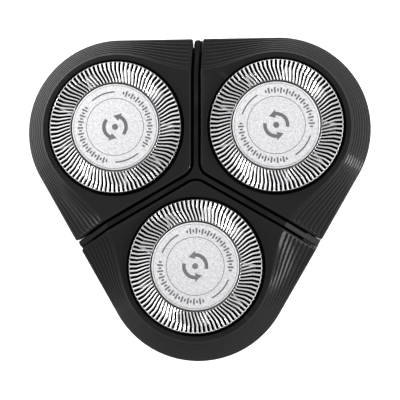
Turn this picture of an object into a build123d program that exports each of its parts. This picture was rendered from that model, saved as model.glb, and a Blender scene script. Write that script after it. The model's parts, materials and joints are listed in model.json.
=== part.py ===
"""Three-head rotary electric shaver, as an assembly of separate sub-parts.

Millimetres. +Z points up through the shaving head, -Y is the front, where the single cutting head and
the power button are. The origin is the centre of the flat base that the handle stands on.
"""

import os
from math import acos, cos, pi, radians, sin, tan

from build123d import *

# Cutting heads: three on a circle round the handle's axis
HEAD_CIRCLE_R = 16.8
HEAD_AZIMUTHS = {"front": 270, "right": 30, "left": 150}
LOBE_ANGLE = 120

# Heights of the main levels
POD_TOP = 140.0
POD_RIM = POD_TOP - 4.5
POD_BOTTOM = POD_TOP - 8.2
PLATE_TOP = POD_TOP - 9.4
PLATE_BOTTOM = POD_TOP - 11.0
CHAMBER_TOP = POD_TOP - 11.2
DECK_TOP = POD_TOP - 15.0
DECK_BOTTOM = POD_TOP - 16.5
GEAR_TOP = POD_TOP - 17.8
GEAR_BOTTOM = POD_TOP - 20.3
NECK_TOP = POD_TOP - 22.5
MOTOR_PLATE_BOTTOM = POD_TOP - 24.0
NECK_BOTTOM = POD_TOP - 32.0
HANDLE_TOP = NECK_BOTTOM - 1.2
HANDLE_BOTTOM = 6.0

# Pods: the three black lobes that carry the guards
CREASE_R = 13.45
CREASE_WAIST = 10.4
RIM_R = 17.0
POD_FOOT_R = 16.3
GROOVE_HALF = 0.9
POD_CORNER_R = 2.4
POD_WALL = 1.2
GUARD_HOLE_R = 12.45
GUARD_SEAT_R = 12.95
GUARD_LIP = 1.2
POD_SLEEVE_R = 13.9
POD_SLEEVE_BOTTOM = POD_TOP - 6.6
TILT_Z = POD_TOP - 5.0

# Guards, cutters and their retaining rings
GUARD_R = 12.0
GUARD_TOP = POD_TOP + 1.0
GUARD_SKIN = 0.25
GUARD_SKIRT_BOTTOM = POD_TOP - 1.9
SLOT_COUNT = 90
SLOT_INNER_R = 8.5
SLOT_OUTER_R = 11.45
SLOT_WIDTH = 0.36
DISC_R = 7.9
GUARD_RING_R = 12.75
GUARD_RING_BOTTOM = POD_TOP - 3.6
BLADE_COUNT = 9
BLADE_INNER_R = 8.3
BLADE_OUTER_R = 10.6
BLADE_LEAN = 1.9
BLADE_HALF = 0.2
BLADE_TOP = POD_TOP + 0.55
CUTTER_HUB_R = 3.2
CUTTER_HUB_BOTTOM = POD_TOP - 5.8
RETAINER_TOP = POD_TOP - 5.3
RETAINER_BOTTOM = POD_TOP - 6.5

# Wider ends of the spine, below the bevel, which close the view through the grooves' outer ends
SPINE_END_HALF = 0.74
SPINE_END_DROP = 0.8
SPINE_END_BOTTOM = POD_BOTTOM + 1.0

# Pivot pins of the pods
PIN_R = 0.75
PIN_CLEARANCE = 0.05
EAR_INNER = 14.8
EAR_OUTER = 15.8
EAR_R = 1.5

# Hinge and latch of the shaving unit
HINGE_Y = 23.4
HINGE_Z = POD_TOP - 10.9
HINGE_R = 1.5
HINGE_PIN_R = 0.8
KNUCKLE_HALF = 3.8
LUG_INNER = 4.0
LUG_OUTER = 6.8
REAR_FLAT_Y = 21.9
LEG_Y = -27.4
RELEASE_FACE_Y = -33.2
RELEASE_BACK_Y = -28.9
RIB_Y = -25.6

# Broken edges of the housing, and the step back of the neck below it
EDGE = 0.4
NECK_STEP = 0.3

# Drive train
MODULE = 0.6
PINION_TEETH = 20
SPINDLE_TEETH = 36
PRESSURE_ANGLE = radians(20)
BACKLASH = 0.2
SPINDLE_R = 2.0
SPINDLE_BOTTOM = POD_TOP - 23.3
SPINDLE_SHOULDER = POD_TOP - 13.0
SPINDLE_PIN_TOP = POD_TOP - 9.0
TIP_TOP = POD_TOP - 4.3
TIP_SHOULDER = POD_TOP - 6.2
TIP_CUP_BOTTOM = POD_TOP - 12.6
BUSH_TOP = POD_TOP - 14.2
MOTOR_R = 11.0
MOTOR_TOP = MOTOR_PLATE_BOTTOM - 0.2
MOTOR_LENGTH = 27.0
SCREW_CIRCLE_R = 16.6

# Handle: outer half-widths in X and Y at a few heights
HANDLE_SECTIONS = [
    (HANDLE_BOTTOM, 20.0, 17.0),
    (35.0, 21.6, 18.6),
    (72.0, 21.8, 19.0),
    (HANDLE_TOP, 18.4, 17.8),
]
WALL = 1.8
SKIN = 0.9
SKIN_BOTTOM = 12.0
SKIN_TOP = 98.0
PANEL_HALF = 10.8
BUTTON_R = 6.0
BUTTON_Z = 70.0
BUTTON_TRAVEL = 0.8
LIGHT_Z = 54.0
BOARD_Y = -7.2
BATTERY_Y = 6.6
SOCKET_Y = 7.5
SOCKET_R = 1.8
BASE_SCREWS = [(-11.5, 4.0), (11.5, 4.0)]

OUT = "parts"
os.makedirs(OUT, exist_ok=True)


def save(part, name):
    """Labels a finished piece and writes its STEP file."""
    part.label = name
    export_step(part, f"{OUT}/{name}.step")


def polar(radius, azimuth, z=0.0):
    """The point at a radius and an azimuth in degrees round the handle's axis."""
    return Vector(radius * cos(radians(azimuth)), radius * sin(radians(azimuth)), z)


def head_place(azimuth):
    """Moves a piece built round the Z axis to one cutting head, with its +X pointing outward."""
    return Location(polar(HEAD_CIRCLE_R, azimuth), (0, 0, azimuth))


def lobed_outline(centre_r, lobe_r, waist_r=None):
    """Three equal lobes joined by straight sides, or by hollowed sides where waist_r is given."""
    with BuildSketch() as outline:
        with BuildLine():
            for azimuth in HEAD_AZIMUTHS.values():
                centre = polar(centre_r, azimuth)
                half = LOBE_ANGLE / 2
                ThreePointArc(*[centre + polar(lobe_r, azimuth + turn) for turn in (-half, 0, half)])
                start = centre + polar(lobe_r, azimuth + half)
                end = polar(centre_r, azimuth + LOBE_ANGLE) + polar(lobe_r, azimuth + half)
                if waist_r is None:
                    Line(start, end)
                else:
                    middle = polar(centre_r / 2 + waist_r, azimuth + half)
                    along = polar(1, azimuth + half + 90)
                    Spline(start, middle, end, tangents=[along, along])
        make_face()
    return outline.sketch


def lobed_body(*sections):
    """A solid through lobed outlines, each given as (height, centre_r, lobe_r[, waist_r])."""
    with BuildPart() as body:
        for height, *shape in sections:
            with BuildSketch(Plane.XY.offset(height)):
                add(lobed_outline(*shape))
        loft(ruled=True)
    return body.part


def sector(azimuth, gap_half, corner_r):
    """The 120 degree slice of one pod, kept gap_half clear of its two dividing planes."""
    reach = 120
    with BuildSketch() as slice_sketch:
        apex = polar(gap_half / sin(radians(LOBE_ANGLE / 2)), azimuth)
        with BuildLine():
            Polyline(
                apex,
                apex + polar(reach, azimuth - LOBE_ANGLE / 2),
                apex + polar(reach, azimuth + LOBE_ANGLE / 2),
                close=True,
            )
        make_face()
        fillet(slice_sketch.vertices().sort_by_distance((0, 0))[0], radius=corner_r)
    return slice_sketch.sketch


def gear_outline(teeth, turn):
    """An involute spur gear with a tooth centred at the angle turn, in degrees."""
    pitch_r = teeth * MODULE / 2
    base_r = pitch_r * cos(PRESSURE_ANGLE)
    tip_r = pitch_r + 0.9 * MODULE
    root_r = pitch_r - 1.2 * MODULE
    half_at_pitch = pi / (2 * teeth) - BACKLASH / (2 * pitch_r)

    def half_angle(radius):
        angle = acos(min(1.0, base_r / radius))
        return half_at_pitch + tan(PRESSURE_ANGLE) - PRESSURE_ANGLE - (tan(angle) - angle)

    start_r = max(base_r, root_r)
    flank = [start_r + (tip_r - start_r) * step / 3 for step in range(4)]
    points = []
    for tooth in range(teeth):
        middle = turn + 360 * tooth / teeth
        left = [(root_r, -half_angle(start_r))] + [(r, -half_angle(r)) for r in flank]
        right = [(r, -angle) for r, angle in reversed(left)]
        points += [polar(r, middle + angle * 180 / pi) for r, angle in left + right]
    with BuildSketch() as outline:
        with BuildLine():
            Polyline(*points, close=True)
        make_face()
    return outline.sketch


def coil_spring(mean_r, wire_r, length, turns):
    """A compression spring standing on the XY plane."""
    with BuildPart() as spring:
        with BuildLine() as path:
            Helix(pitch=(length - 2 * wire_r) / turns, height=length - 2 * wire_r, radius=mean_r)
        with BuildSketch(Plane(origin=path.line @ 0, z_dir=path.line % 0)):
            Circle(wire_r)
        sweep(is_frenet=True)
    return spring.part.moved(Location((0, 0, wire_r)))


# ---------------------------------------------------------------- pods
with BuildPart() as pod_blank:
    add(
        lobed_body(
            (POD_TOP, HEAD_CIRCLE_R, CREASE_R, CREASE_WAIST),
            (POD_RIM, HEAD_CIRCLE_R, RIM_R),
            (POD_BOTTOM, HEAD_CIRCLE_R, POD_FOOT_R),
        )
    )

with BuildPart() as pod_hollow:
    add(
        lobed_body(
            (POD_TOP - 3.0, HEAD_CIRCLE_R, CREASE_R + 1.25, CREASE_WAIST + 2.9),
            (POD_TOP - 5.0, HEAD_CIRCLE_R, RIM_R - 1.5),
            (POD_BOTTOM - 0.1, HEAD_CIRCLE_R, POD_FOOT_R - 1.4),
        )
    )

for name, azimuth in HEAD_AZIMUTHS.items():
    centre = polar(HEAD_CIRCLE_R, azimuth)
    tilt_axis = Plane(origin=centre + Vector(0, 0, TILT_Z), x_dir=(0, 0, 1), z_dir=polar(1, azimuth + 90))
    with BuildPart() as cavity:
        add(pod_hollow.part)
        with BuildSketch():
            add(sector(azimuth, GROOVE_HALF + POD_WALL, POD_CORNER_R))
        extrude(amount=POD_TOP, mode=Mode.INTERSECT)
    with BuildPart() as pod:
        add(pod_blank.part)
        add(cavity.part, mode=Mode.SUBTRACT)
        with BuildSketch(Plane.XY.offset(POD_SLEEVE_BOTTOM)):
            with Locations(centre):
                Circle(POD_SLEEVE_R)
        extrude(amount=POD_TOP - 2.0 - POD_SLEEVE_BOTTOM)
        # bosses that take the two pivot pins
        with BuildSketch(tilt_axis):
            Circle(1.7)
        extrude(amount=EAR_INNER - 0.3, both=True)
        with BuildSketch(Plane.XY.offset(POD_BOTTOM)):
            with Locations(centre):
                Circle(GUARD_SEAT_R)
        extrude(amount=POD_TOP - GUARD_LIP - POD_BOTTOM, mode=Mode.SUBTRACT)
        with BuildSketch(Plane.XY.offset(POD_TOP - GUARD_LIP)):
            with Locations(centre):
                Circle(GUARD_HOLE_R)
        extrude(amount=GUARD_LIP, mode=Mode.SUBTRACT)
        with BuildSketch(tilt_axis):
            Circle(PIN_R + PIN_CLEARANCE)
        extrude(amount=EAR_INNER, both=True, mode=Mode.SUBTRACT)
        with BuildSketch():
            add(sector(azimuth, GROOVE_HALF, POD_CORNER_R))
        extrude(amount=POD_TOP, mode=Mode.INTERSECT)
    save(pod.part, f"pod_shell_{name}")

    with BuildPart() as pivot_pins:
        for side in (-1, 1):
            with BuildSketch(tilt_axis.offset(side * (GUARD_SEAT_R + 0.15))):
                Circle(PIN_R)
            extrude(amount=side * (EAR_OUTER + 0.2 - GUARD_SEAT_R))
    save(pivot_pins.part, f"pivot_pins_{name}")

# ---------------------------------------------------------------- guards, cutters and retaining rings
with BuildPart() as guard_cap:
    with BuildSketch(Plane.XZ):
        with BuildLine():
            top = GUARD_TOP
            Polyline((0, top - 0.1), (DISC_R, top - 0.1), (DISC_R + 0.1, top - 0.25), (DISC_R + 0.3, top))
            Line((DISC_R + 0.3, top), (GUARD_R - 0.5, top))
            RadiusArc((GUARD_R - 0.5, top), (GUARD_R, top - 0.5), 0.5)
            Polyline(
                (GUARD_R, top - 0.5),
                (GUARD_R, GUARD_SKIRT_BOTTOM),
                (GUARD_R - GUARD_SKIN, GUARD_SKIRT_BOTTOM),
                (GUARD_R - GUARD_SKIN, top - 0.5),
                (GUARD_R - 0.5, top - GUARD_SKIN),
                (DISC_R + 0.4, top - GUARD_SKIN),
                (DISC_R + 0.2, top - 0.5),
                (0, top - 0.5),
                (0, top - 0.1),
            )
        make_face()
    revolve(axis=Axis.Z)
    with BuildSketch(Plane.XY.offset(GUARD_TOP - 1)):
        with PolarLocations((SLOT_INNER_R + SLOT_OUTER_R) / 2, SLOT_COUNT):
            Rectangle(SLOT_OUTER_R - SLOT_INNER_R, SLOT_WIDTH)
    extrude(amount=2, mode=Mode.SUBTRACT)

with BuildPart() as guard_ring:
    with BuildSketch(Plane.XY.offset(GUARD_RING_BOTTOM)):
        Circle(GUARD_RING_R)
        Circle(GUARD_R - GUARD_SKIN - 0.35, mode=Mode.SUBTRACT)
    extrude(amount=GUARD_SKIRT_BOTTOM - GUARD_RING_BOTTOM)
    with BuildSketch(Plane.XY.offset(GUARD_SKIRT_BOTTOM)):
        Circle(GUARD_RING_R)
        Circle(GUARD_R, mode=Mode.SUBTRACT)
    extrude(amount=0.55)
    # three keys that stop the guard turning
    with BuildSketch(Plane.XY.offset(GUARD_RING_BOTTOM - 0.5)):
        with PolarLocations(GUARD_R + 0.1, 3):
            Rectangle(0.8, 2.4)
    extrude(amount=0.5)

with BuildPart() as cutter_blades:
    with BuildSketch(Plane.XY.offset(POD_TOP - 2.6)):
        Circle(11.0)
        Circle(CUTTER_HUB_R, mode=Mode.SUBTRACT)
        with PolarLocations(6.4, 6):
            Circle(1.6, mode=Mode.SUBTRACT)
    extrude(amount=0.5)
    for index in range(BLADE_COUNT):
        # each blade leans toward its cutting edge, and is extruded outward along a radius
        turn = index * 360 / BLADE_COUNT
        start = polar(BLADE_INNER_R, turn)
        with BuildSketch(Plane(origin=start, x_dir=polar(1, turn + 90), z_dir=polar(1, turn))):
            with BuildLine():
                Polyline(
                    (-BLADE_LEAN - BLADE_HALF, POD_TOP - 2.3),
                    (-BLADE_LEAN + BLADE_HALF, POD_TOP - 2.3),
                    (BLADE_LEAN + BLADE_HALF, BLADE_TOP),
                    (BLADE_LEAN - BLADE_HALF, BLADE_TOP),
                    close=True,
                )
            make_face()
        extrude(amount=BLADE_OUTER_R - BLADE_INNER_R)

with BuildPart() as cutter_hub:
    with BuildSketch(Plane.XY.offset(CUTTER_HUB_BOTTOM)):
        Circle(CUTTER_HUB_R)
    extrude(amount=POD_TOP - 2.1 - CUTTER_HUB_BOTTOM)
    with BuildSketch(Plane.XY.offset(POD_TOP - 2.1)):
        Circle(5.2)
    extrude(amount=0.7)
    with BuildSketch(Plane.XY.offset(POD_TOP - 1.4)):
        Circle(1.4)
    extrude(amount=1.5)
    with BuildSketch(Plane.XY.offset(CUTTER_HUB_BOTTOM)):
        RegularPolygon(1.8, 6, major_radius=False)
    extrude(amount=2.8, mode=Mode.SUBTRACT)

with BuildPart() as retaining_ring:
    with BuildSketch(Plane.XY.offset(RETAINER_BOTTOM)):
        Circle(GUARD_SEAT_R - 0.1)
        Circle(10.9, mode=Mode.SUBTRACT)
        # three spokes carry a guide eye round the cutter's hub
        with PolarLocations(7.8, 3):
            Rectangle(7.0, 1.3)
        Circle(5.0)
        Circle(4.0, mode=Mode.SUBTRACT)
    extrude(amount=RETAINER_TOP - RETAINER_BOTTOM)

for name, azimuth in HEAD_AZIMUTHS.items():
    place = head_place(azimuth)
    save(guard_cap.part.moved(place), f"guard_cap_{name}")
    save(guard_ring.part.moved(place), f"guard_ring_{name}")
    save(cutter_blades.part.moved(place), f"cutter_blades_{name}")
    save(cutter_hub.part.moved(place), f"cutter_hub_{name}")
    save(retaining_ring.part.moved(place), f"retaining_ring_{name}")

# ---------------------------------------------------------------- carrier frame with the Y-shaped spine
with BuildPart() as spine:
    add(
        lobed_body(
            (POD_TOP - 0.5, HEAD_CIRCLE_R, CREASE_R - 0.1, CREASE_WAIST - 0.2),
            (POD_RIM - 0.2, HEAD_CIRCLE_R, RIM_R - 0.25),
            (PLATE_BOTTOM, HEAD_CIRCLE_R, POD_FOOT_R - 0.6),
        )
    )
    with BuildSketch() as spine_arms:
        for azimuth in HEAD_AZIMUTHS.values():
            with Locations(Location(polar(15, azimuth + 60), (0, 0, azimuth + 60))):
                Rectangle(30, 0.8)
        fillet(spine_arms.vertices().group_by(lambda v: round((v.X**2 + v.Y**2) ** 0.5, 2))[0], radius=3.0)
    extrude(amount=POD_TOP, mode=Mode.INTERSECT)

with BuildPart() as spine_ends:
    add(
        lobed_body(
            (POD_TOP - 0.5 - SPINE_END_DROP, HEAD_CIRCLE_R, CREASE_R - 0.1, CREASE_WAIST - 0.2),
            (POD_RIM - 0.2 - SPINE_END_DROP, HEAD_CIRCLE_R, RIM_R - 0.25),
            (PLATE_BOTTOM, HEAD_CIRCLE_R, POD_FOOT_R - 0.6),
        )
    )
    with BuildSketch(Plane.XY.offset(SPINE_END_BOTTOM)):
        for azimuth in HEAD_AZIMUTHS.values():
            with Locations(Location(polar(24, azimuth + 60), (0, 0, azimuth + 60))):
                Rectangle(3, 2 * SPINE_END_HALF)
    extrude(amount=POD_TOP - SPINE_END_BOTTOM, mode=Mode.INTERSECT)

with BuildPart() as carrier_frame:
    add(lobed_body((PLATE_BOTTOM, HEAD_CIRCLE_R, 15.7), (PLATE_TOP, HEAD_CIRCLE_R, 15.7)))
    with Locations((0, HINGE_Y - 1.8 + 10, PLATE_BOTTOM)):
        Box(60, 20, 10, align=(Align.CENTER, Align.CENTER, Align.CENTER), mode=Mode.SUBTRACT)
    with BuildSketch(Plane.XY.offset(PLATE_BOTTOM)):
        for azimuth in HEAD_AZIMUTHS.values():
            with Locations(polar(HEAD_CIRCLE_R, azimuth)):
                Circle(11.2)
    extrude(amount=PLATE_TOP - PLATE_BOTTOM, mode=Mode.SUBTRACT)
    add(spine.part)
    add(spine_ends.part)
    for azimuth in HEAD_AZIMUTHS.values():
        for side in (-1, 1):
            ear_plane = Plane(
                origin=polar(HEAD_CIRCLE_R, azimuth, TILT_Z) + polar(side * EAR_INNER, azimuth + 90),
                x_dir=(0, 0, 1),
                z_dir=polar(side, azimuth + 90),
            )
            with BuildSketch(ear_plane):
                Circle(EAR_R)
                with Locations(((PLATE_TOP - TILT_Z) / 2, 0)):
                    Rectangle(TILT_Z - PLATE_TOP, 2 * EAR_R)
                Circle(PIN_R, mode=Mode.SUBTRACT)
            extrude(amount=EAR_OUTER - EAR_INNER)
    # hinge knuckle at the rear
    with BuildSketch(Plane.YZ.offset(-KNUCKLE_HALF)):
        with Locations((HINGE_Y, HINGE_Z)):
            Circle(HINGE_R)
        with Locations((HINGE_Y - 1.5, (PLATE_TOP + PLATE_BOTTOM) / 2)):
            Rectangle(3.0, PLATE_TOP - PLATE_BOTTOM)
    extrude(amount=2 * KNUCKLE_HALF)
    with BuildSketch(Plane.YZ.offset(-KNUCKLE_HALF)):
        with Locations((HINGE_Y, HINGE_Z)):
            Circle(HINGE_PIN_R + PIN_CLEARANCE)
    extrude(amount=2 * KNUCKLE_HALF, mode=Mode.SUBTRACT)
    # two latch legs at the front
    for side in (-1, 1):
        with Locations((side * 3.0, -28.6, PLATE_BOTTOM)):
            Box(1.6, 2.4, 0.8, align=(Align.CENTER, Align.CENTER, Align.MIN))
        with Locations((side * 3.0, LEG_Y, PLATE_BOTTOM - 3.2)):
            Box(1.6, 0.8, 3.6, align=(Align.CENTER, Align.CENTER, Align.MIN))
save(carrier_frame.part, "carrier_frame")

# ---------------------------------------------------------------- drive housing: hair chamber and gear case
with BuildPart() as housing_hollows:
    add(lobed_body((DECK_TOP, 16.6, 13.7), (CHAMBER_TOP + 0.1, HEAD_CIRCLE_R, 14.0)))
    add(lobed_body((NECK_TOP - 0.1, 16.2, 13.5), (DECK_BOTTOM, 16.6, 13.8)))
    with Locations((0, REAR_FLAT_Y - 1.5 + 10, POD_TOP - 17)):
        Box(80, 20, 30, mode=Mode.SUBTRACT)

with BuildPart() as drive_housing:
    add(
        lobed_body(
            (NECK_TOP, 16.2, 15.2 - EDGE),
            (NECK_TOP + EDGE, 16.2, 15.2),
            (CHAMBER_TOP - EDGE, HEAD_CIRCLE_R, 15.6),
            (CHAMBER_TOP, HEAD_CIRCLE_R, 15.6 - EDGE),
        )
    )
    add(housing_hollows.part, mode=Mode.SUBTRACT)
    with Locations((0, REAR_FLAT_Y + 10, POD_TOP - 17)):
        Box(80, 20, 30, mode=Mode.SUBTRACT)
    # bosses for the spindles' bushes, and for the three screws from below
    with BuildSketch(Plane.XY.offset(DECK_BOTTOM)):
        for azimuth in HEAD_AZIMUTHS.values():
            with Locations(polar(HEAD_CIRCLE_R, azimuth)):
                Circle(4.4)
    extrude(amount=BUSH_TOP - DECK_BOTTOM - 0.2)
    with BuildSketch(Plane.XY.offset(NECK_TOP)):
        for azimuth in HEAD_AZIMUTHS.values():
            with Locations(polar(SCREW_CIRCLE_R, azimuth + 60)):
                Circle(2.4)
    extrude(amount=DECK_BOTTOM - NECK_TOP)
    with BuildSketch(Plane.XY.offset(DECK_BOTTOM)):
        for azimuth in HEAD_AZIMUTHS.values():
            with Locations(polar(HEAD_CIRCLE_R, azimuth)):
                Circle(3.2)
    extrude(amount=4, mode=Mode.SUBTRACT)
    with BuildSketch(Plane.XY.offset(NECK_TOP)):
        for azimuth in HEAD_AZIMUTHS.values():
            with Locations(polar(SCREW_CIRCLE_R, azimuth + 60)):
                Circle(1.1)
    extrude(amount=5.0, mode=Mode.SUBTRACT)
    # lugs for the hinge pin
    for side in (-1, 1):
        with BuildSketch(Plane.YZ.offset(side * LUG_INNER)):
            with Locations((HINGE_Y, HINGE_Z)):
                Circle(HINGE_R)
            with BuildLine():
                Polyline(
                    (HINGE_Y + HINGE_R, HINGE_Z),
                    (REAR_FLAT_Y - 0.4, HINGE_Z - 6.0),
                    (REAR_FLAT_Y - 0.4, CHAMBER_TOP),
                    (HINGE_Y - HINGE_R, HINGE_Z),
                    close=True,
                )
            make_face()
        extrude(amount=side * (LUG_OUTER - LUG_INNER))
    with BuildSketch(Plane.YZ.offset(-LUG_OUTER)):
        with Locations((HINGE_Y, HINGE_Z)):
            Circle(HINGE_PIN_R)
    extrude(amount=2 * LUG_OUTER, mode=Mode.SUBTRACT)
    # notch for the release button, and the rib that backs its spring
    with Locations((0, -32, DECK_TOP)):
        Box(9.4, 6, 6, align=(Align.CENTER, Align.CENTER, Align.MIN), mode=Mode.SUBTRACT)
    with Locations((0, RIB_Y, DECK_TOP)):
        Box(3.2, 0.8, 3.4, align=(Align.CENTER, Align.MIN, Align.MIN))
save(drive_housing.part, "drive_housing")

with BuildPart() as hinge_pin:
    with BuildSketch(Plane.YZ.offset(-LUG_OUTER)):
        with Locations((HINGE_Y, HINGE_Z)):
            Circle(HINGE_PIN_R)
    extrude(amount=2 * LUG_OUTER)
save(hinge_pin.part, "hinge_pin")

with BuildPart() as release_button:
    with Locations((0, (RELEASE_FACE_Y + RELEASE_BACK_Y) / 2, DECK_TOP + 0.2)):
        Box(9.0, RELEASE_BACK_Y - RELEASE_FACE_Y, 3.3, align=(Align.CENTER, Align.CENTER, Align.MIN))
    fillet(release_button.edges().filter_by(Axis.Z).group_by(Axis.Y)[0], radius=1.2)
    with Locations((0, RELEASE_BACK_Y, DECK_TOP + 0.2)):
        Box(10.0, 0.35, 3.3, align=(Align.CENTER, Align.MAX, Align.MIN))
    with BuildSketch(Plane.XZ.offset(-RELEASE_BACK_Y)):
        with Locations((0, DECK_TOP + 1.85)):
            Circle(0.7)
    extrude(amount=-1.2)
save(release_button.part, "release_button")

release_spring = coil_spring(1.0, 0.15, RIB_Y - RELEASE_BACK_Y, 5)
save(release_spring.moved(Location((0, RIB_Y, DECK_TOP + 1.85), (90, 0, 0))), "release_spring")

# ---------------------------------------------------------------- spindles, bushes, seals, tips and springs
with BuildPart() as spindle_bushes:
    with BuildSketch(Plane.XY.offset(DECK_BOTTOM)):
        for azimuth in HEAD_AZIMUTHS.values():
            with Locations(polar(HEAD_CIRCLE_R, azimuth)):
                Circle(3.2)
                Circle(SPINDLE_R + PIN_CLEARANCE, mode=Mode.SUBTRACT)
    extrude(amount=1.5)
save(spindle_bushes.part, "spindle_bushes")

with BuildPart() as spindle_seals:
    with BuildSketch(Plane.XY.offset(DECK_TOP)):
        for azimuth in HEAD_AZIMUTHS.values():
            with Locations(polar(HEAD_CIRCLE_R, azimuth)):
                Circle(3.2)
                Circle(SPINDLE_R + 0.06, mode=Mode.SUBTRACT)
    extrude(amount=0.5)
save(spindle_seals.part, "spindle_seals")

with BuildPart() as spindle:
    with BuildSketch(Plane.XY.offset(SPINDLE_BOTTOM)):
        Circle(SPINDLE_R)
    extrude(amount=SPINDLE_SHOULDER - SPINDLE_BOTTOM)
    with BuildSketch(Plane.XY.offset(SPINDLE_SHOULDER)):
        Circle(1.2)
    extrude(amount=SPINDLE_PIN_TOP - SPINDLE_SHOULDER)

with BuildPart() as drive_tip:
    with BuildSketch(Plane.XY.offset(TIP_CUP_BOTTOM)):
        Circle(2.7)
    extrude(amount=TIP_SHOULDER - TIP_CUP_BOTTOM)
    with BuildSketch(Plane.XY.offset(TIP_CUP_BOTTOM)):
        Circle(2.15)
    extrude(amount=TIP_SHOULDER - 0.6 - TIP_CUP_BOTTOM, mode=Mode.SUBTRACT)
    with BuildSketch(Plane.XY.offset(TIP_SHOULDER)):
        RegularPolygon(1.45, 6, major_radius=False)
    extrude(amount=TIP_TOP - TIP_SHOULDER, taper=14)

spring_height = TIP_SHOULDER - 0.6 - SPINDLE_SHOULDER
tip_spring = coil_spring(1.68, 0.2, spring_height, 6)

GAP_TURN = 180 / SPINDLE_TEETH
PINION_PITCH = 360 / PINION_TEETH
for name, azimuth in HEAD_AZIMUTHS.items():
    place = Location(polar(HEAD_CIRCLE_R, azimuth))
    save(spindle.part.moved(place), f"spindle_{name}")
    save(drive_tip.part.moved(head_place(azimuth)), f"drive_tip_{name}")
    save(tip_spring.moved(Location(polar(HEAD_CIRCLE_R, azimuth, SPINDLE_SHOULDER))), f"tip_spring_{name}")
    # the gear is turned so that one of its gaps takes the pinion tooth nearest the line of centres
    offset = azimuth - PINION_PITCH * round(azimuth / PINION_PITCH)
    gap_angle = azimuth + 180 + offset * PINION_TEETH / SPINDLE_TEETH
    with BuildPart() as spindle_gear:
        with BuildSketch(Plane.XY.offset(GEAR_BOTTOM)):
            add(gear_outline(SPINDLE_TEETH, gap_angle - GAP_TURN))
            with PolarLocations(6.6, 5):
                Circle(2.1, mode=Mode.SUBTRACT)
        extrude(amount=GEAR_TOP - GEAR_BOTTOM)
        with BuildSketch(Plane.XY.offset(GEAR_BOTTOM - 1.5)):
            Circle(3.6)
        extrude(amount=1.5)
        with BuildSketch(Plane.XY.offset(GEAR_BOTTOM - 1.5)):
            Circle(SPINDLE_R)
        extrude(amount=GEAR_TOP - GEAR_BOTTOM + 1.5, mode=Mode.SUBTRACT)
    save(spindle_gear.part.moved(place), f"spindle_gear_{name}")

with BuildPart() as drive_pinion:
    with BuildSketch(Plane.XY.offset(GEAR_BOTTOM - 0.2)):
        add(gear_outline(PINION_TEETH, 0))
        Circle(1.0, mode=Mode.SUBTRACT)
    extrude(amount=GEAR_TOP - GEAR_BOTTOM + 0.3)
save(drive_pinion.part, "drive_pinion")

# ---------------------------------------------------------------- motor
with BuildPart() as motor_shaft:
    with BuildSketch(Plane.XY.offset(MOTOR_TOP - MOTOR_LENGTH + 2)):
        Circle(1.0)
    extrude(amount=GEAR_TOP + 0.6 - (MOTOR_TOP - MOTOR_LENGTH + 2))
    with BuildSketch(Plane.XY.offset(MOTOR_TOP - 20)):
        Circle(8.2)
        with PolarLocations(7.2, 3):
            Rectangle(3.0, 1.0, mode=Mode.SUBTRACT)
    extrude(amount=14)
save(motor_shaft.part, "motor_rotor")

with BuildPart() as motor_can:
    with BuildSketch(Plane.XY.offset(MOTOR_TOP - MOTOR_LENGTH + 3)):
        Circle(MOTOR_R)
    extrude(amount=MOTOR_LENGTH - 3)
    with BuildSketch(Plane.XY.offset(MOTOR_TOP)):
        Circle(3.2)
    extrude(amount=1.4)
    with BuildSketch(Plane.XY.offset(MOTOR_TOP - MOTOR_LENGTH + 3)):
        Circle(9.8)
    extrude(amount=MOTOR_LENGTH - 5, mode=Mode.SUBTRACT)
    with BuildSketch(Plane.XY.offset(MOTOR_TOP - 5)):
        Circle(1.06)
    extrude(amount=8, mode=Mode.SUBTRACT)
save(motor_can.part, "motor_can")

with BuildPart() as motor_end_cap:
    with BuildSketch(Plane.XY.offset(MOTOR_TOP - MOTOR_LENGTH)):
        Circle(MOTOR_R)
    extrude(amount=3)
    with BuildSketch(Plane.XY.offset(MOTOR_TOP - MOTOR_LENGTH + 1.6)):
        Circle(1.06)
    extrude(amount=2, mode=Mode.SUBTRACT)
    with Locations((-5, 0, MOTOR_TOP - MOTOR_LENGTH), (5, 0, MOTOR_TOP - MOTOR_LENGTH)):
        Box(2.4, 0.5, 3.0, align=(Align.CENTER, Align.CENTER, Align.MAX))
save(motor_end_cap.part, "motor_end_cap")

# ---------------------------------------------------------------- neck
with BuildPart() as neck_hollow:
    add(
        lobed_body(
            (NECK_BOTTOM, 2.0, 15.0),
            (NECK_BOTTOM + 3.2, 4.0, 14.6),
            (MOTOR_PLATE_BOTTOM, 12.2, 13.4),
        )
    )
    with Locations((0, REAR_FLAT_Y - 1.5 + 10, POD_TOP - 27)):
        Box(80, 20, 30, mode=Mode.SUBTRACT)

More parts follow.
